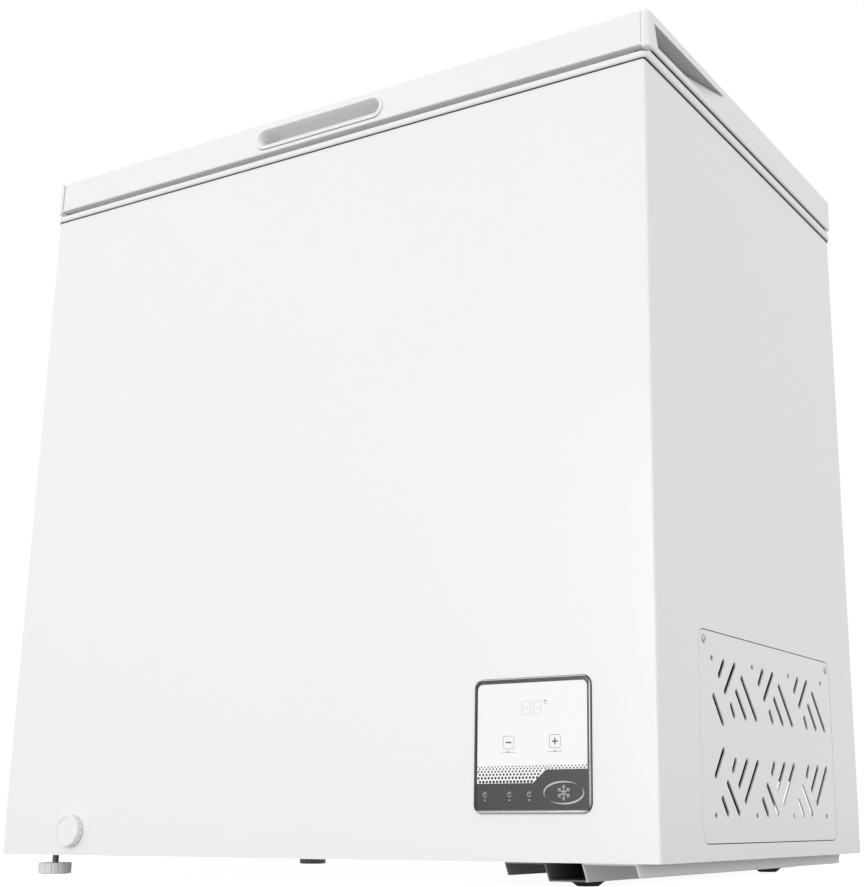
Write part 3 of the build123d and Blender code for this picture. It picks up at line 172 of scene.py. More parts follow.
def white_paint():
    """Baked white enamel on steel: faint orange peel and a clear, satin gloss."""
    m = Shader("white_paint", (0.865, 0.863, 0.86), 0.36)
    m.shades(m.noise(4.0, 3), (0.875, 0.873, 0.87), (0.858, 0.857, 0.855))
    m.link(m.remap(m.noise(90, 3), 0.3, 0.7, 0.33, 0.42), "Roughness")
    m.link(m.bump(m.noise(520, 2), 0.00006), "Normal")
    m.coat(0.25, 0.12)
    return m.material


def zinc_sheet():
    """Galvanised sheet with its spangle."""
    m = Shader("zinc_sheet", (0.62, 0.64, 0.66), 0.4, metallic=0.85)
    crystal = m.cells(95, output="Color")
    grain = m.node("ShaderNodeSeparateColor", Color=crystal).outputs["Red"]
    m.shades(grain, (0.54, 0.56, 0.58), (0.72, 0.74, 0.76))
    m.link(m.remap(grain, 0, 1, 0.32, 0.52), "Roughness")
    m.link(m.bump(m.noise(700, 3), 0.00005), "Normal")
    return m.material


def foam():
    """Rigid polyurethane foam, cream, with fine open cells on its cut faces."""
    m = Shader("foam", (0.84, 0.74, 0.5), 0.92)
    m.shades(m.noise(35, 4), (0.88, 0.79, 0.56), (0.76, 0.64, 0.4))
    m.link(m.bump(m.cells(900), 0.0004, after=m.bump(m.noise(60, 4), 0.0008)), "Normal")
    return m.material


def embossed_lining():
    """White-coated aluminium with a stucco emboss."""
    m = Shader("embossed_lining", (0.83, 0.845, 0.85), 0.3, metallic=0.15)
    m.shades(m.noise(6, 3), (0.85, 0.86, 0.865), (0.8, 0.815, 0.82))
    stucco = m.remap(m.cells(230, feature="SMOOTH_F1"), 0.1, 0.55, 0, 1)
    m.link(m.bump(stucco, 0.00025, 0.8, after=m.bump(m.noise(120, 3), 0.0002)), "Normal")
    return m.material


def formed_sheet():
    """Vacuum-formed white polystyrene of the lid's lining."""
    m = Shader("formed_sheet", (0.86, 0.86, 0.858), 0.34)
    m.shades(m.noise(5, 3), (0.87, 0.87, 0.868), (0.845, 0.845, 0.843))
    m.link(m.bump(m.noise(260, 2), 0.00008), "Normal")
    m.coat(0.15, 0.2)
    return m.material


def moulded(name, tone, darker, roughness, grain=900, depth=0.00004, coat=0.0):
    """Moulded plastic with a fine spark-eroded grain and slow flow variation."""
    m = Shader(name, tone, roughness)
    m.shades(m.noise(9, 4), tone, darker)
    m.link(m.remap(m.noise(140, 3), 0.3, 0.7, roughness - 0.05, roughness + 0.06), "Roughness")
    m.link(m.bump(m.noise(grain, 3), depth), "Normal")
    if coat:
        m.coat(coat, 0.15)
    return m.material


def chrome_trim():
    """Bright plated ring with light painted into its colour: a painted highlight along its outer edges and
    painted shade on its inner slope.
    """
    low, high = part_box("panel_bezel")
    m = Shader("chrome_trim", (0.5, 0.5, 0.505), 0.16, metallic=1.0)
    fade = 0.0002
    # Dark base tone: painted shade, standing for the dark reflection on the inner slope.
    tone = (0.1, 0.1, 0.102)
    # Painted highlight for three outer edges, and a dimmer painted reflection for the right one.
    bright = m.blend(m.noise(60, 3), (0.74, 0.74, 0.745), (0.64, 0.64, 0.645))
    dull = m.blend(m.noise(60, 3), (0.3, 0.3, 0.302), (0.24, 0.24, 0.242))
    edges = (
        ("X", low[0], 1, 0.0010, bright),
        ("X", high[0], -1, 0.0016, dull),
        ("Z", high[2], -1, 0.0009, bright),
        ("Z", low[2], 1, 0.0024, bright),
    )
    for axis, outer, sign, edge, painted_edge_light in edges:
        near = m.along(axis, outer + sign * (edge + fade), outer + sign * edge)
        tone = m.blend(near, tone, painted_edge_light)
    m.link(tone, "Base Color")
    m.link(m.remap(m.noise(400, 3), 0.3, 0.7, 0.12, 0.24), "Roughness")
    return m.material


def panel_film():
    """Glossy back-printed film of the control panel, white area."""
    m = Shader("panel_film", (0.93, 0.935, 0.94), 0.12)
    m.shades(m.noise(20, 2), (0.935, 0.94, 0.943), (0.92, 0.925, 0.93))
    m.link(m.bump(m.noise(300, 2), 0.00001), "Normal")
    m.coat(0.6, 0.05)
    return m.material


def ink(name, tone, darker, roughness=0.3, coat=0.15):
    """Printed ink of the panel."""
    m = Shader(name, tone, roughness)
    m.shades(m.noise(900, 3), tone, darker)
    m.link(m.remap(m.noise(600, 2), 0.3, 0.7, roughness - 0.04, roughness + 0.05), "Roughness")
    m.coat(coat, 0.08)
    return m.material


def circuit():
    """Green board with its etched tracks."""
    m = Shader("circuit", (0.04, 0.2, 0.08), 0.35)
    tracks = m.cells(420, feature="DISTANCE_TO_EDGE")
    m.shades(m.remap(tracks, 0.02, 0.06, 0, 1), (0.1, 0.34, 0.14), (0.03, 0.17, 0.07))
    m.link(m.bump(tracks, 0.00005), "Normal")
    return m.material


def display():
    """Smoked block of lamps and digits behind the film."""
    m = Shader("display", (0.06, 0.06, 0.065), 0.15)
    m.shades(m.noise(300, 2), (0.07, 0.07, 0.075), (0.045, 0.045, 0.05))
    return m.material


def plated_steel():
    """Zinc-plated fasteners and hinge parts, with drawing marks and dull spots."""
    m = Shader("plated_steel", (0.66, 0.67, 0.68), 0.3, metallic=1.0)
    m.shades(m.noise(180, 4), (0.72, 0.73, 0.74), (0.55, 0.56, 0.57))
    m.link(m.remap(m.noise(500, 3), 0.3, 0.7, 0.24, 0.42), "Roughness")
    m.link(m.bump(m.noise(1, 2, place=m.stretched(300, 300, 2500)), 0.00003), "Normal")
    return m.material


def black_enamel_and_shade():
    """Thick black paint of the compressor; the same black on the walls of the compressor's compartment is
    painted shade.
    """
    m = Shader("black_enamel_and_shade", (0.02, 0.02, 0.022), 0.28)
    m.shades(m.noise(50, 4), (0.024, 0.024, 0.026), (0.014, 0.014, 0.015))
    m.link(m.bump(m.noise(260, 3), 0.0002), "Normal")
    m.coat(0.5, 0.15)
    return m.material


def copper():
    """Copper tube, slightly tarnished."""
    m = Shader("copper", (0.83, 0.42, 0.27), 0.28, metallic=1.0)
    m.shades(m.noise(70, 5), (0.88, 0.47, 0.31), (0.5, 0.24, 0.15))
    m.link(m.remap(m.noise(240, 3), 0.3, 0.7, 0.22, 0.45), "Roughness")
    return m.material


def rubber(name, tone, darker):
    """Dull rubber or sealant with a fine skin texture; the same finish serves strips of painted shade."""
    m = Shader(name, tone, 0.75, specular=0.3)
    m.shades(m.noise(120, 4), tone, darker)
    m.link(m.bump(m.noise(1300, 3), 0.00008), "Normal")
    return m.material


def end_cap_plastic(side):
    """White lid cap with painted shade in its finger pocket: the roof of the pocket is painted a duller
    tone, darkest at its depth.
    """
    m = Shader(f"end_cap_plastic_{'right' if side > 0 else 'left'}", WHITE_PLASTIC[0], 0.4)
    low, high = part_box("lid_right_cap")
    face, front, top = high[0], low[1], high[2]
    pocket_start, pocket_depth = 0.012, 0.017
    roof_low, roof_high, fade = top - 0.0125, top - 0.0075, 0.001
    # Mask of the pocket's roof, which takes the painted shade.
    pocket = m.all_of(
        m.along("X", side * (face - 0.0003), side * (face - 0.0008)),
        m.along("Y", front + pocket_start, front + pocket_start + 0.0008),
        m.along("Z", roof_low, roof_low + 0.0011),
        m.along("Z", roof_high, roof_high - fade),
    )
    white = m.blend(m.noise(9, 4), *WHITE_PLASTIC)
    # Painted shade: darkest at the pocket's depth, lighter towards the outer face.
    depth = m.along("X", side * (face - pocket_depth), side * face)
    grey = m.blend(depth, (0.35, 0.35, 0.349), (0.43, 0.429, 0.427))
    m.link(m.blend(pocket, white, grey), "Base Color")
    m.link(m.remap(m.noise(140, 3), 0.3, 0.7, 0.35, 0.46), "Roughness")
    m.link(m.bump(m.noise(900, 3), 0.00004), "Normal")
    m.coat(0.1, 0.15)
    return m.material


def foot_material(name, tone, darker):
    """Plastic foot disc with a dull metal stem standing in it."""
    m = Shader(name, tone, 0.45)
    disc_top = 0.012
    stem = m.along("Z", disc_top, disc_top + 0.0003)
    disc_tone = m.blend(m.noise(60, 4), tone, darker)
    stem_tone = m.blend(m.noise(250, 3), (0.2, 0.2, 0.205), (0.12, 0.12, 0.125))
    m.link(m.blend(stem, disc_tone, stem_tone), "Base Color")
    m.link(m.remap(stem, 0, 1, 0, 0.9), "Metallic")
    thread = m.noise(1, 1, place=m.stretched(1, 1, 900))
    m.link(m.bump(thread, 0.00012, after=m.bump(m.noise(900, 3), 0.00004)), "Normal")
    return m.material


def dark_line():
    """Dull near-black strip material for painted shade in seams and gaps."""
    m = Shader("dark_line", (0.03, 0.03, 0.03), 0.8, specular=0.2)
    m.shades(m.noise(150, 4), (0.035, 0.035, 0.036), (0.02, 0.02, 0.02))
    m.link(m.bump(m.noise(800, 3), 0.00005), "Normal")
    return m.material


def rail_paint_and_shade():
    """Painted rail under the corner, with painted shade in its colour: dark inside the hollow of its hat
    section and on the flange that the cabinet shades, a lighter painted shade on its right web.
    """
    low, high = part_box("foot_rail")
    m = Shader("rail_paint_and_shade", (0.86, 0.86, 0.858), 0.4)
    span = high[0] - low[0]
    white = m.blend(m.noise(4.0, 3), (0.875, 0.873, 0.87), (0.858, 0.857, 0.855))
    # Painted shade tones for the left flange, the inside of the channel and the right web.
    left_flange_shade, channel_shade, right_web_shade = (0.2, 0.2, 0.2), (0.17, 0.17, 0.17), (0.7, 0.7, 0.698)
    tone = left_flange_shade
    for share, shade in ((0.31, channel_shade), (0.585, right_web_shade), (0.615, white)):
        place = low[0] + share * span
        tone = m.blend(m.along("X", place, place + 0.0006), tone, shade)
    m.link(tone, "Base Color")
    m.link(m.remap(m.noise(90, 3), 0.3, 0.7, 0.33, 0.42), "Roughness")
    m.link(m.bump(m.noise(520, 2), 0.00006), "Normal")
    return m.material


WHITE_PLASTIC = (0.878, 0.876, 0.873), (0.86, 0.858, 0.856)
slots = {
    "white_paint": white_paint(),
    "zinc_sheet": zinc_sheet(),
    "foam": foam(),
    "lining": embossed_lining(),
    "white_plastic": moulded("white_plastic", *WHITE_PLASTIC, 0.4, coat=0.1),
    "grip_plastic": moulded("grip_plastic", (0.865, 0.863, 0.86), (0.84, 0.838, 0.836), 0.42),
    "chrome_trim": chrome_trim(),
    "panel_film": panel_film(),
    "black_plastic": moulded("black_plastic", (0.03, 0.03, 0.031), (0.02, 0.02, 0.021), 0.5),
    "circuit": circuit(),
    "display": display(),
    "steel": plated_steel(),
    "black_paint": black_enamel_and_shade(),
    # Black slot: real paint on the compressor, painted shade on the compartment's walls.
    "copper": copper(),
    "rubber": rubber("black_rubber", (0.018, 0.018, 0.018), (0.03, 0.03, 0.03)),
    "grey_plastic": moulded("grey_plastic", (0.5, 0.505, 0.51), (0.43, 0.435, 0.44), 0.45),
    "seal": rubber("seal", (0.6, 0.61, 0.61), (0.54, 0.55, 0.55)),
    "coated_wire": moulded("coated_wire", (0.84, 0.85, 0.85), (0.8, 0.81, 0.81), 0.3, grain=500, coat=0.3),
}
own_material = {
    "foot_rail": rail_paint_and_shade(),
    "lid_liner": formed_sheet(),
    "lid_right_cap": end_cap_plastic(1),
    "lid_left_cap": end_cap_plastic(-1),
    "levelling_foot_front": foot_material("front_foot", (0.86, 0.86, 0.855), (0.8, 0.8, 0.795)),
    # The rear foot's disc is much darker than the front one's: partly painted shade under the cabinet,
    # partly a darker foot.
    "levelling_foot_rear": foot_material("rear_foot", (0.2, 0.2, 0.2), (0.15, 0.15, 0.15)),
}
slot_of = {part["node"]: part["material_slot"] for part in frame["record"]["subparts"]}
for name, node in nodes.items():
    material = own_material.get(name, slots[slot_of[name]])
    node.data.materials.clear()
    node.data.materials.append(material)


# ---- printed marks on the control panel --------------------------------------
panel_low, panel_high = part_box("panel_overlay")
PANEL_CENTRE = ((panel_low[0] + panel_high[0]) / 2, (panel_low[2] + panel_high[2]) / 2)
PRINT_BACK = panel_low[1] - 0.00001
PRINT_THICK = 0.00007


def flat_print(name, outlines, material, layer=0):
    """Thin closed plates on the panel; each outline is a list of (x, z) in mm from the panel's centre."""
    back = PRINT_BACK - layer * PRINT_THICK
    mesh = bpy.data.meshes.new(name)
    build = bmesh.new()
    for outline in outlines:
        rings = []
        for y in (back - PRINT_THICK, back):
            rings.append(
                [
                    build.verts.new((PANEL_CENTRE[0] + x * MM, y, PANEL_CENTRE[1] + z * MM))
                    for x, z in outline
                ]
            )
        build.faces.new(rings[0])
        build.faces.new(list(reversed(rings[1])))
        count = len(outline)
        for index in range(count):
            after = (index + 1) % count
            build.faces.new((rings[0][after], rings[0][index], rings[1][index], rings[1][after]))
    bmesh.ops.recalc_face_normals(build, faces=build.faces[:])
    build.to_mesh(mesh)
    build.free()
    piece = bpy.data.objects.new(name, mesh)
    scene.collection.objects.link(piece)
    mesh.materials.append(material)
    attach(piece, "cabinet")
    return piece


def disc(x, z, radius, sides=20):
    """Outline of a round dot."""
    return [
        (x + radius * math.cos(2 * math.pi * k / sides), z + radius * math.sin(2 * math.pi * k / sides))
        for k in range(sides)
    ]


def bar(x0, z0, x1, z1, width):
    """Straight stroke between two points."""
    length = math.hypot(x1 - x0, z1 - z0)
    nx = -(z1 - z0) / length * width / 2
    nz = (x1 - x0) / length * width / 2
    return [(x0 + nx, z0 + nz), (x1 + nx, z1 + nz), (x1 - nx, z1 - nz), (x0 - nx, z0 - nz)]


def arc_strokes(x, z, radius, start, end, width, steps=24):
    """Curved stroke as one closed outline, with angles in degrees."""
    outer = []
    inner = []
    for k in range(steps + 1):
        angle = math.radians(start + (end - start) * k / steps)
        for ring, r in ((outer, radius + width / 2), (inner, radius - width / 2)):
            ring.append((x + r * math.cos(angle), z + r * math.sin(angle)))
    return outer + inner[::-1]


def key_box(x, z, half, width=0.35, corner=1.6):
    """Rounded square outline of a touch key, as four sides and four corners."""
    straight = half - corner
    strokes = []
    for sx, sz in ((1, 0), (-1, 0)):
        strokes.append(bar(x + sx * half, z - straight, x + sx * half, z + straight, width))
    for sz in (1, -1):
        strokes.append(bar(x - straight, z + sz * half, x + straight, z + sz * half, width))
    for index, (sx, sz) in enumerate(((1, 1), (-1, 1), (-1, -1), (1, -1))):
        start = 90 * index
        strokes.append(
            arc_strokes(x + sx * straight, z + sz * straight, corner, start, start + 90, width, 8)
        )
    return strokes


dark_ink = ink("dark_ink", (0.046, 0.046, 0.047), (0.038, 0.038, 0.039))
black_ink = ink("black_ink", (0.008, 0.008, 0.008), (0.012, 0.012, 0.012), 0.5, coat=0)
grey_ink = ink("grey_ink", (0.22, 0.22, 0.225), (0.18, 0.18, 0.185))
pale_ink = ink("pale_ink", (0.78, 0.785, 0.79), (0.74, 0.745, 0.75))
light_ink = ink("light_ink", (0.55, 0.555, 0.56), (0.48, 0.485, 0.49))

HALF_X = (panel_high[0] - panel_low[0]) / MM / 2 - 0.3
HALF_Z = (panel_high[2] - panel_low[2]) / MM / 2 - 0.3
CORNER = 5.5
RING_WIDTH = 0.5
RING_X = HALF_X - RING_WIDTH
FIELD_LEFT_TOP = -34.2
FIELD_RIGHT_TOP = -22.4
STEP_X = (1.8, 15.4)  # foot and head of the slope between the field's two heights


def dark_field():
    """Lower dark part of the print, higher on the right, with the film's rounded corners."""
    outline = [(HALF_X, FIELD_RIGHT_TOP), (STEP_X[1], FIELD_RIGHT_TOP), (STEP_X[0], FIELD_LEFT_TOP)]
    outline.append((-HALF_X, FIELD_LEFT_TOP))
    for sx, start in ((-1, 180), (1, 270)):
        for k in range(9):
            angle = math.radians(start + 90 * k / 8)
            x = sx * (HALF_X - CORNER) + CORNER * math.cos(angle)
            z = -(HALF_Z - CORNER) + CORNER * math.sin(angle)
            outline.append((x, z))
    return outline


def halftone():
    """Rows of dots above the dark field that shrink upwards and draw closer together."""
    dots = []
    pitch, lowest = 3.7, 1.32
    z = FIELD_LEFT_TOP + lowest + 0.15
    for row in range(6):
        radius = lowest - 0.13 * row
        climb = (z - FIELD_LEFT_TOP) / (FIELD_RIGHT_TOP - FIELD_LEFT_TOP)
        edge = STEP_X[0] + (STEP_X[1] - STEP_X[0]) * climb
        right = RING_X - radius if z - radius > FIELD_RIGHT_TOP else edge - radius
        x = -RING_X + radius + (pitch / 2 if row % 2 == 0 else 0.3)
        while x < right:
            dots.append(disc(x, z, radius, 12))
            x += pitch
        z += 3.4 - 0.35 * row
    return dots


def digit(x, z, width=8.6, height=12.2, stroke=1.3):
    """Unlit seven-segment digit."""
    w, h = width / 2, height / 2
    gap = 0.25
    sides = []
    for zz in (h, 0, -h):
        sides.append(bar(x - w + stroke / 2 + gap, z + zz, x + w - stroke / 2 - gap, z + zz, stroke))
    for xx in (-w, w):
        for z0, z1 in ((gap, h - gap), (-h + gap, -gap)):
            sides.append(bar(x + xx, z + z0, x + xx, z + z1, stroke))
    return sides


def snowflake(x, z, radius, width):
    """Six arms with two twigs each."""
    strokes = []
    for k in range(6):
        angle = math.radians(60 * k + 30)
        end = (x + radius * math.cos(angle), z + radius * math.sin(angle))
        strokes.append(bar(x, z, *end, width))
        for side in (-1, 1):
            base = 0.58 * radius
            bx, bz = x + base * math.cos(angle), z + base * math.sin(angle)
            twig = angle + side * math.radians(50)
            tip = (bx + 0.32 * radius * math.cos(twig), bz + 0.32 * radius * math.sin(twig))
            strokes.append(bar(bx, bz, *tip, width * 0.8))
    return strokes


def swoosh(x, z, half_x, half_z, start, end, width, steps=28):
    """Part of an ellipse whose stroke is widest at its middle and runs out to points."""
    outer = []
    inner = []
    for k in range(steps + 1):
        angle = math.radians(start + (end - start) * k / steps)
        grow = width / 2 * math.sin(math.pi * k / steps) + 0.05
        for ring, extra in ((outer, grow), (inner, -grow)):
            ring.append((x + (half_x + extra) * math.cos(angle), z + (half_z + extra) * math.sin(angle)))
    return outer + inner[::-1]


def panel_print():
    """Everything printed on the touch film, from its dark field to its signs."""
    minus_x, plus_x, keys_z = -24.4, 24.9, 2.6
    emblem = (33.9, -43.0)
    key_half, line_half, line_drop = 5.8, 7.5, 9.2
    flat_print("print_dark_field", [dark_field()], dark_ink)
    flat_print("print_halftone", halftone(), black_ink)
    outlines = key_box(minus_x, keys_z, key_half) + key_box(plus_x, keys_z, key_half)
    for x in (minus_x, plus_x):
        outlines.append(bar(x - line_half, keys_z - line_drop, x + line_half, keys_z - line_drop, 0.3))
        outlines.append([(x - 1.1, keys_z - 9.0), (x + 1.1, keys_z - 9.0), (x, keys_z - 7.6)])
    flat_print("print_key_outlines", outlines, grey_ink)
    reach, stroke = 3.0, 1.1
    signs = [bar(x - reach, keys_z, x + reach, keys_z, stroke) for x in (minus_x, plus_x)]
    for low, high in ((stroke / 2, reach), (-reach, -stroke / 2)):
        signs.append(bar(plus_x, keys_z + low, plus_x, keys_z + high, stroke))
    flat_print("print_key_signs", signs, black_ink)
    flat_print("print_digits", digit(-5.6, 33.4) + digit(6.2, 33.4), pale_ink)
    degree = [arc_strokes(14.1, 39.4, 0.7, 0, 355, 0.35, 20), arc_strokes(16.2, 37.9, 1.6, 55, 305, 0.5, 20)]
    flat_print("print_degree", degree, grey_ink)
    flat_print("print_snowflake", snowflake(*emblem, 7.0, 0.9), light_ink, layer=1)
    arcs = [swoosh(*emblem, 20.5, 9.6, start, start + 157, 1.6) for start in (48, -132)]
    flat_print("print_swooshes", arcs, light_ink, layer=1)
    icons = []
    for x, z in ((-49.5, -46.0), (-23.0, -46.0), (-2.0, -46.0)):
        icons.append(disc(x, z - 3.2, 0.75, 16))
        icons.append(arc_strokes(x, z + 1.8, 2.0, 20, 340, 0.5, 24))
        icons.append(bar(x, z + 1.8, x, z + 4.8, 0.5))
    flat_print("print_lamp_icons", icons, light_ink, layer=1)


panel_print()


# ---- painted shade in seams and gaps, and the panel's dark border --------------
# Material of the dark strips that paint shade into seams and gaps.
seam = dark_line()


def rounded_loop(half_x, half_y, corner, steps=6):
    """Points of a rounded rectangle about the origin."""
    loop = []
    for quarter, (sx, sy) in enumerate(((1, 1), (-1, 1), (-1, -1), (1, -1))):
        for k in range(steps + 1):
            angle = math.radians(90 * quarter + 90 * k / steps)
            loop.append(
                (
                    sx * (half_x - corner) + corner * math.cos(angle),
                    sy * (half_y - corner) + corner * math.sin(angle),
                )
            )
    return loop


def closed_band(name, inner, outer, place, depth, body, material=seam):
    """Solid ring between two loops; place(u, v, d) gives a point, d being its two depths."""
    mesh = bpy.data.meshes.new(name)
    build = bmesh.new()
    rings = [[build.verts.new(place(u, v, d)) for u, v in loop] for loop in (inner, outer) for d in depth]
    inner_low, inner_high, outer_low, outer_high = rings
    around = (
        (inner_low, outer_low),
        (outer_low, outer_high),
        (outer_high, inner_high),
        (inner_high, inner_low),
    )
    count = len(inner)
    for first, second in around:
        for index in range(count):
            after = (index + 1) % count
            build.faces.new((first[index], first[after], second[after], second[index]))
    bmesh.ops.recalc_face_normals(build, faces=build.faces[:])
    build.to_mesh(mesh)
    build.free()
    piece = bpy.data.objects.new(name, mesh)
    scene.collection.objects.link(piece)
    mesh.materials.append(material)
    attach(piece, body)


def rim_shade_strip():
    """Dark strip of painted shade under the rim, all round the cabinet and taller along the sides."""
    low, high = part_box("shell_returns")
    half_x, half_y = (high[0] - low[0]) / 2, (high[1] - low[1]) / 2
    middle_y = (high[1] + low[1]) / 2
    bend, proud = 0.0025, 0.0006
    front_tall, side_tall = 0.0011, 0.0019
    inner = rounded_loop(half_x - 0.0002, half_y - 0.0002, bend)
    outer = rounded_loop(half_x + proud, half_y + proud, bend + proud)

    def place(u, v, d):
        side = min(1, max(0, (abs(u) - half_x + bend) / bend))
        tall = front_tall + side * (side_tall - front_tall)
        return u, v + middle_y, high[2] - 0.00002 - d * tall

    closed_band("rim_shade_strip", inner, outer, place, (1, 0), "cabinet")


def lid_edge_shades():
    """Dark strip of painted shade under each end of the lid, seen in the gap over the rim."""
    # Dark tone of painted shade for the gap under the lid's ends.
    grey = rubber("lid_edge_shade", (0.15, 0.15, 0.15), (0.12, 0.12, 0.12))
    for name, side in (("right", 1), ("left", -1)):
        low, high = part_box(f"lid_{name}_cap")
        outer_face = high[0] if side > 0 else -low[0]
        half_y = (high[1] - low[1]) / 2
        middle = (side * (outer_face - 0.0036), (high[1] + low[1]) / 2)
        inner = rounded_loop(0.0001, half_y - 0.0135, 0.00005, 2)
        outer = rounded_loop(0.0014, half_y - 0.0125, 0.0005, 2)
        depth = (low[2] - 0.0003, low[2] + 0.0001)

        def place(u, v, d, middle=middle):
            return u + middle[0], v + middle[1], d

        closed_band(f"lid_edge_shade_{name}", inner, outer, place, depth, "lid", grey)


def end_cap_joint_shades():
    """Faint strip of painted shade in the joint between the lid's front profile and each end cap's wrapped
    edge.
    """
    # Mid tone of painted shade for the joint.
    grey = rubber("end_cap_joint_shade", (0.5, 0.5, 0.5), (0.46, 0.46, 0.46))
    wrap, wide, margin = 0.008, 0.0007, 0.0022
    low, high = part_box("lid_front_profile")
    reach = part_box("lid_right_cap")[1][0] - wrap
    middle_z, half_z = (high[2] + low[2]) / 2, (high[2] - low[2]) / 2 - margin
    inner = rounded_loop(0.0001, half_z - 0.001, 0.00005, 2)
    outer = rounded_loop(wide, half_z, 0.0003, 2)
    for name, side in (("right", 1), ("left", -1)):

        def place(u, v, d, side=side):
            return u + side * (reach - wide), d, v + middle_z

        depth = (low[1] - 0.00004, low[1] + 0.0001)
        closed_band(f"end_cap_joint_shade_{name}", inner, outer, place, depth, "lid", grey)


def handle_rim_shade():
    """Strip of painted shade in the dark gap under the raised rim of the lid's grip, fading out towards its
    top.
    """
    low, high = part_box("handle_insert")
    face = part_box("lid_front_profile")[0][1]
    half_x, half_z = (high[0] - low[0]) / 2, (high[2] - low[2]) / 2
    middle = ((high[0] + low[0]) / 2, (high[2] + low[2]) / 2)
    gap = 0.0006
    inner = rounded_loop(half_x - 0.0002, half_z - 0.0002, half_z - 0.0002, 12)
    outer = []
    for u, v in rounded_loop(half_x, half_z, half_z, 12):
        drop = gap * (1 - v / half_z) / 2
        outer.append((u, v - drop))
    depth = (face - 0.00012, face + 0.00005)

    def place(u, v, d):
        return u + middle[0], d, v + middle[1]

    closed_band("handle_rim_shade", inner, outer, place, depth, "lid")


def grille_seam():
    """Shaded gap between the grille and its seat."""
    low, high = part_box("side_grille")
    half_y, half_z = (high[1] - low[1]) / 2, (high[2] - low[2]) / 2
    middle = ((high[1] + low[1]) / 2, (high[2] + low[2]) / 2)
    gap, corner = 0.00078, 0.012
    inner = rounded_loop(half_y + 0.00002, half_z + 0.00002, corner, 8)
    outer = rounded_loop(half_y + gap, half_z + gap, corner + gap, 8)
    depth = (high[0] - 0.0024, high[0] - 0.0009)

    def place(u, v, d):
        return d, u + middle[0], v + middle[1]

    closed_band("grille_seam", inner, outer, place, depth, "cabinet")


def on_panel(u, v, d):
    """Point at an offset from the panel's centre and at a depth."""
    return u + PANEL_CENTRE[0], d, v + PANEL_CENTRE[1]


def panel_border_and_shade():
    """Dark border along the film's edge, beside the bright ring and wider at the top: partly print, partly
    painted shade of the ring's inner wall.
    """
    low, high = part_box("panel_overlay")
    half_x, half_z = (high[0] - low[0]) / 2 - 0.0001, (high[2] - low[2]) / 2 - 0.0001
    width, lower, corner = RING_WIDTH * MM, 0.00035, 0.0058
    shape = rounded_loop(half_x - width, half_z - width - lower, corner - width, 8)
    # Shifting the inner loop down widens the band at the top, where the painted shade of the ring falls.
    inner = [(u, v - lower) for u, v in shape]
    outer = rounded_loop(half_x, half_z, corner, 8)
    depth = (low[1] - 0.00022, low[1] - 0.00001)
    closed_band("print_border_and_shade", inner, outer, on_panel, depth, "cabinet", dark_ink)


def bezel_seam():
    """Shaded gap between the bright ring and the painted front."""
    low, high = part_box("panel_bezel")
    half_x, half_z = (high[0] - low[0]) / 2, (high[2] - low[2]) / 2
    gap, corner = 0.0004, 0.009
    inner = rounded_loop(half_x - 0.0002, half_z - 0.0002, corner - 0.0002, 8)
    outer = rounded_loop(half_x + gap, half_z + gap, corner + gap, 8)
    depth = (high[1] - 0.0003, high[1] + 0.00005)
    closed_band("bezel_seam", inner, outer, on_panel, depth, "cabinet")


rim_shade_strip()
lid_edge_shades()
end_cap_joint_shades()
handle_rim_shade()
grille_seam()
panel_border_and_shade()
bezel_seam()


# ---- studio ------------------------------------------------------------------
def floor_material():
    """Plain studio floor: white to the eye, and a mild reflector for the underside of things."""
    m = Shader("studio_floor", (0.3, 0.3, 0.3), 0.9, specular=0.1)
    m.shades(m.noise(2, 3), (0.305, 0.305, 0.305), (0.295, 0.295, 0.295))
    m.link(m.bump(m.noise(300, 2), 0.00005), "Normal")
    m.set("Emission Color", (1.0, 1.0, 1.0, 1.0))
    seen = m.node("ShaderNodeLightPath").outputs["Is Camera Ray"]
    m.link(m.remap(seen, 0, 1, 0.25, 0.93), "Emission Strength")
    return m.material


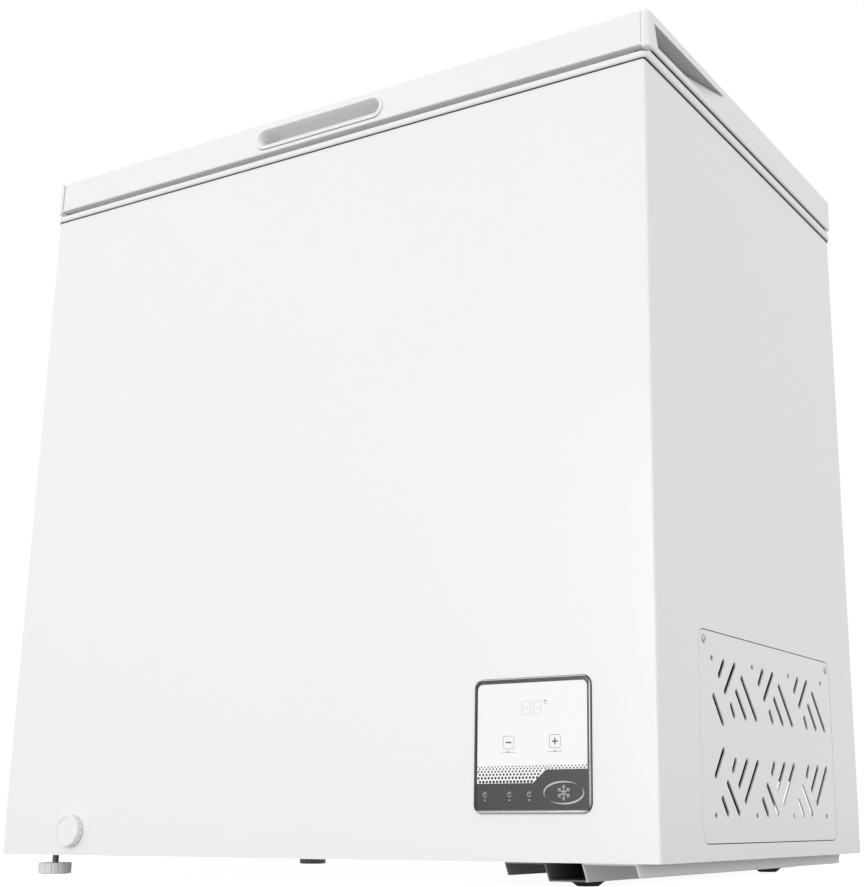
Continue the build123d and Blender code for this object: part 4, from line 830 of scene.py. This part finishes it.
def studio_floor():
    """Large flat floor just under the feet."""
    build = bmesh.new()
    size = 40.0
    bmesh.ops.create_grid(build, x_segments=8, y_segments=8, size=size)
    mesh = bpy.data.meshes.new("studio_floor")
    build.to_mesh(mesh)
    build.free()
    floor = bpy.data.objects.new("studio_floor", mesh)
    floor.location = (0, 0, cad_bounds[0][2] - 0.0002)
    mesh.materials.append(floor_material())
    scene.collection.objects.link(floor)


def sky(strength):
    """White surroundings: plain white to the eye, softer as light."""
    world = bpy.data.worlds.new("studio")
    scene.world = world
    world.use_nodes = True
    tree = world.node_tree
    background = tree.nodes["Background"]
    background.inputs["Color"].default_value = (1, 1, 1, 1)
    path = tree.nodes.new("ShaderNodeLightPath")
    amount = tree.nodes.new("ShaderNodeMapRange")
    amount.inputs["To Min"].default_value = strength
    amount.inputs["To Max"].default_value = 1.0
    tree.links.new(path.outputs["Is Camera Ray"], amount.inputs["Value"])
    tree.links.new(amount.outputs["Result"], background.inputs["Strength"])


def soft_light(name, place, target, size, watts):
    """Rectangular area light that faces a target."""
    data = bpy.data.lights.new(name, "AREA")
    data.shape = "RECTANGLE"
    data.size, data.size_y = size
    data.energy = watts
    light = bpy.data.objects.new(name, data)
    light.location = place
    light.rotation_euler = (Vector(target) - Vector(place)).to_track_quat("-Z", "Y").to_euler()
    scene.collection.objects.link(light)


def camera():
    """Eye-level view from the front right, close to the floor and tilted up."""
    aside, ahead, height = 0.55243, 1.16222, 0.05664
    tilt_up, turn = 14.96, 30
    data = bpy.data.cameras.new("camera")
    data.sensor_width = 36.0
    data.sensor_fit = "AUTO"
    data.lens = 58.334
    data.shift_x = -0.1229
    data.shift_y = -0.0064
    data.clip_start = 0.05
    data.clip_end = 200
    eye = bpy.data.objects.new("camera", data)
    shell_low, shell_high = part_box("outer_shell")
    eye.location = (shell_high[0] + aside, shell_low[1] - ahead, cad_bounds[0][2] + height)
    eye.rotation_euler = (math.radians(90 + tilt_up), 0, math.radians(turn))
    scene.collection.objects.link(eye)
    scene.camera = eye


studio_floor()
sky(0.88)
soft_light("front_light", (-0.35, -4.6, 0.75), (0, -0.2, 0.4), (2.6, 1.7), 66)
soft_light("side_light", (4.2, 1.6, 1.8), (0.4, 0, 0.6), (2.6, 2.6), 19)
camera()
scene.view_settings.view_transform = "Standard"
scene.view_settings.look = "None"
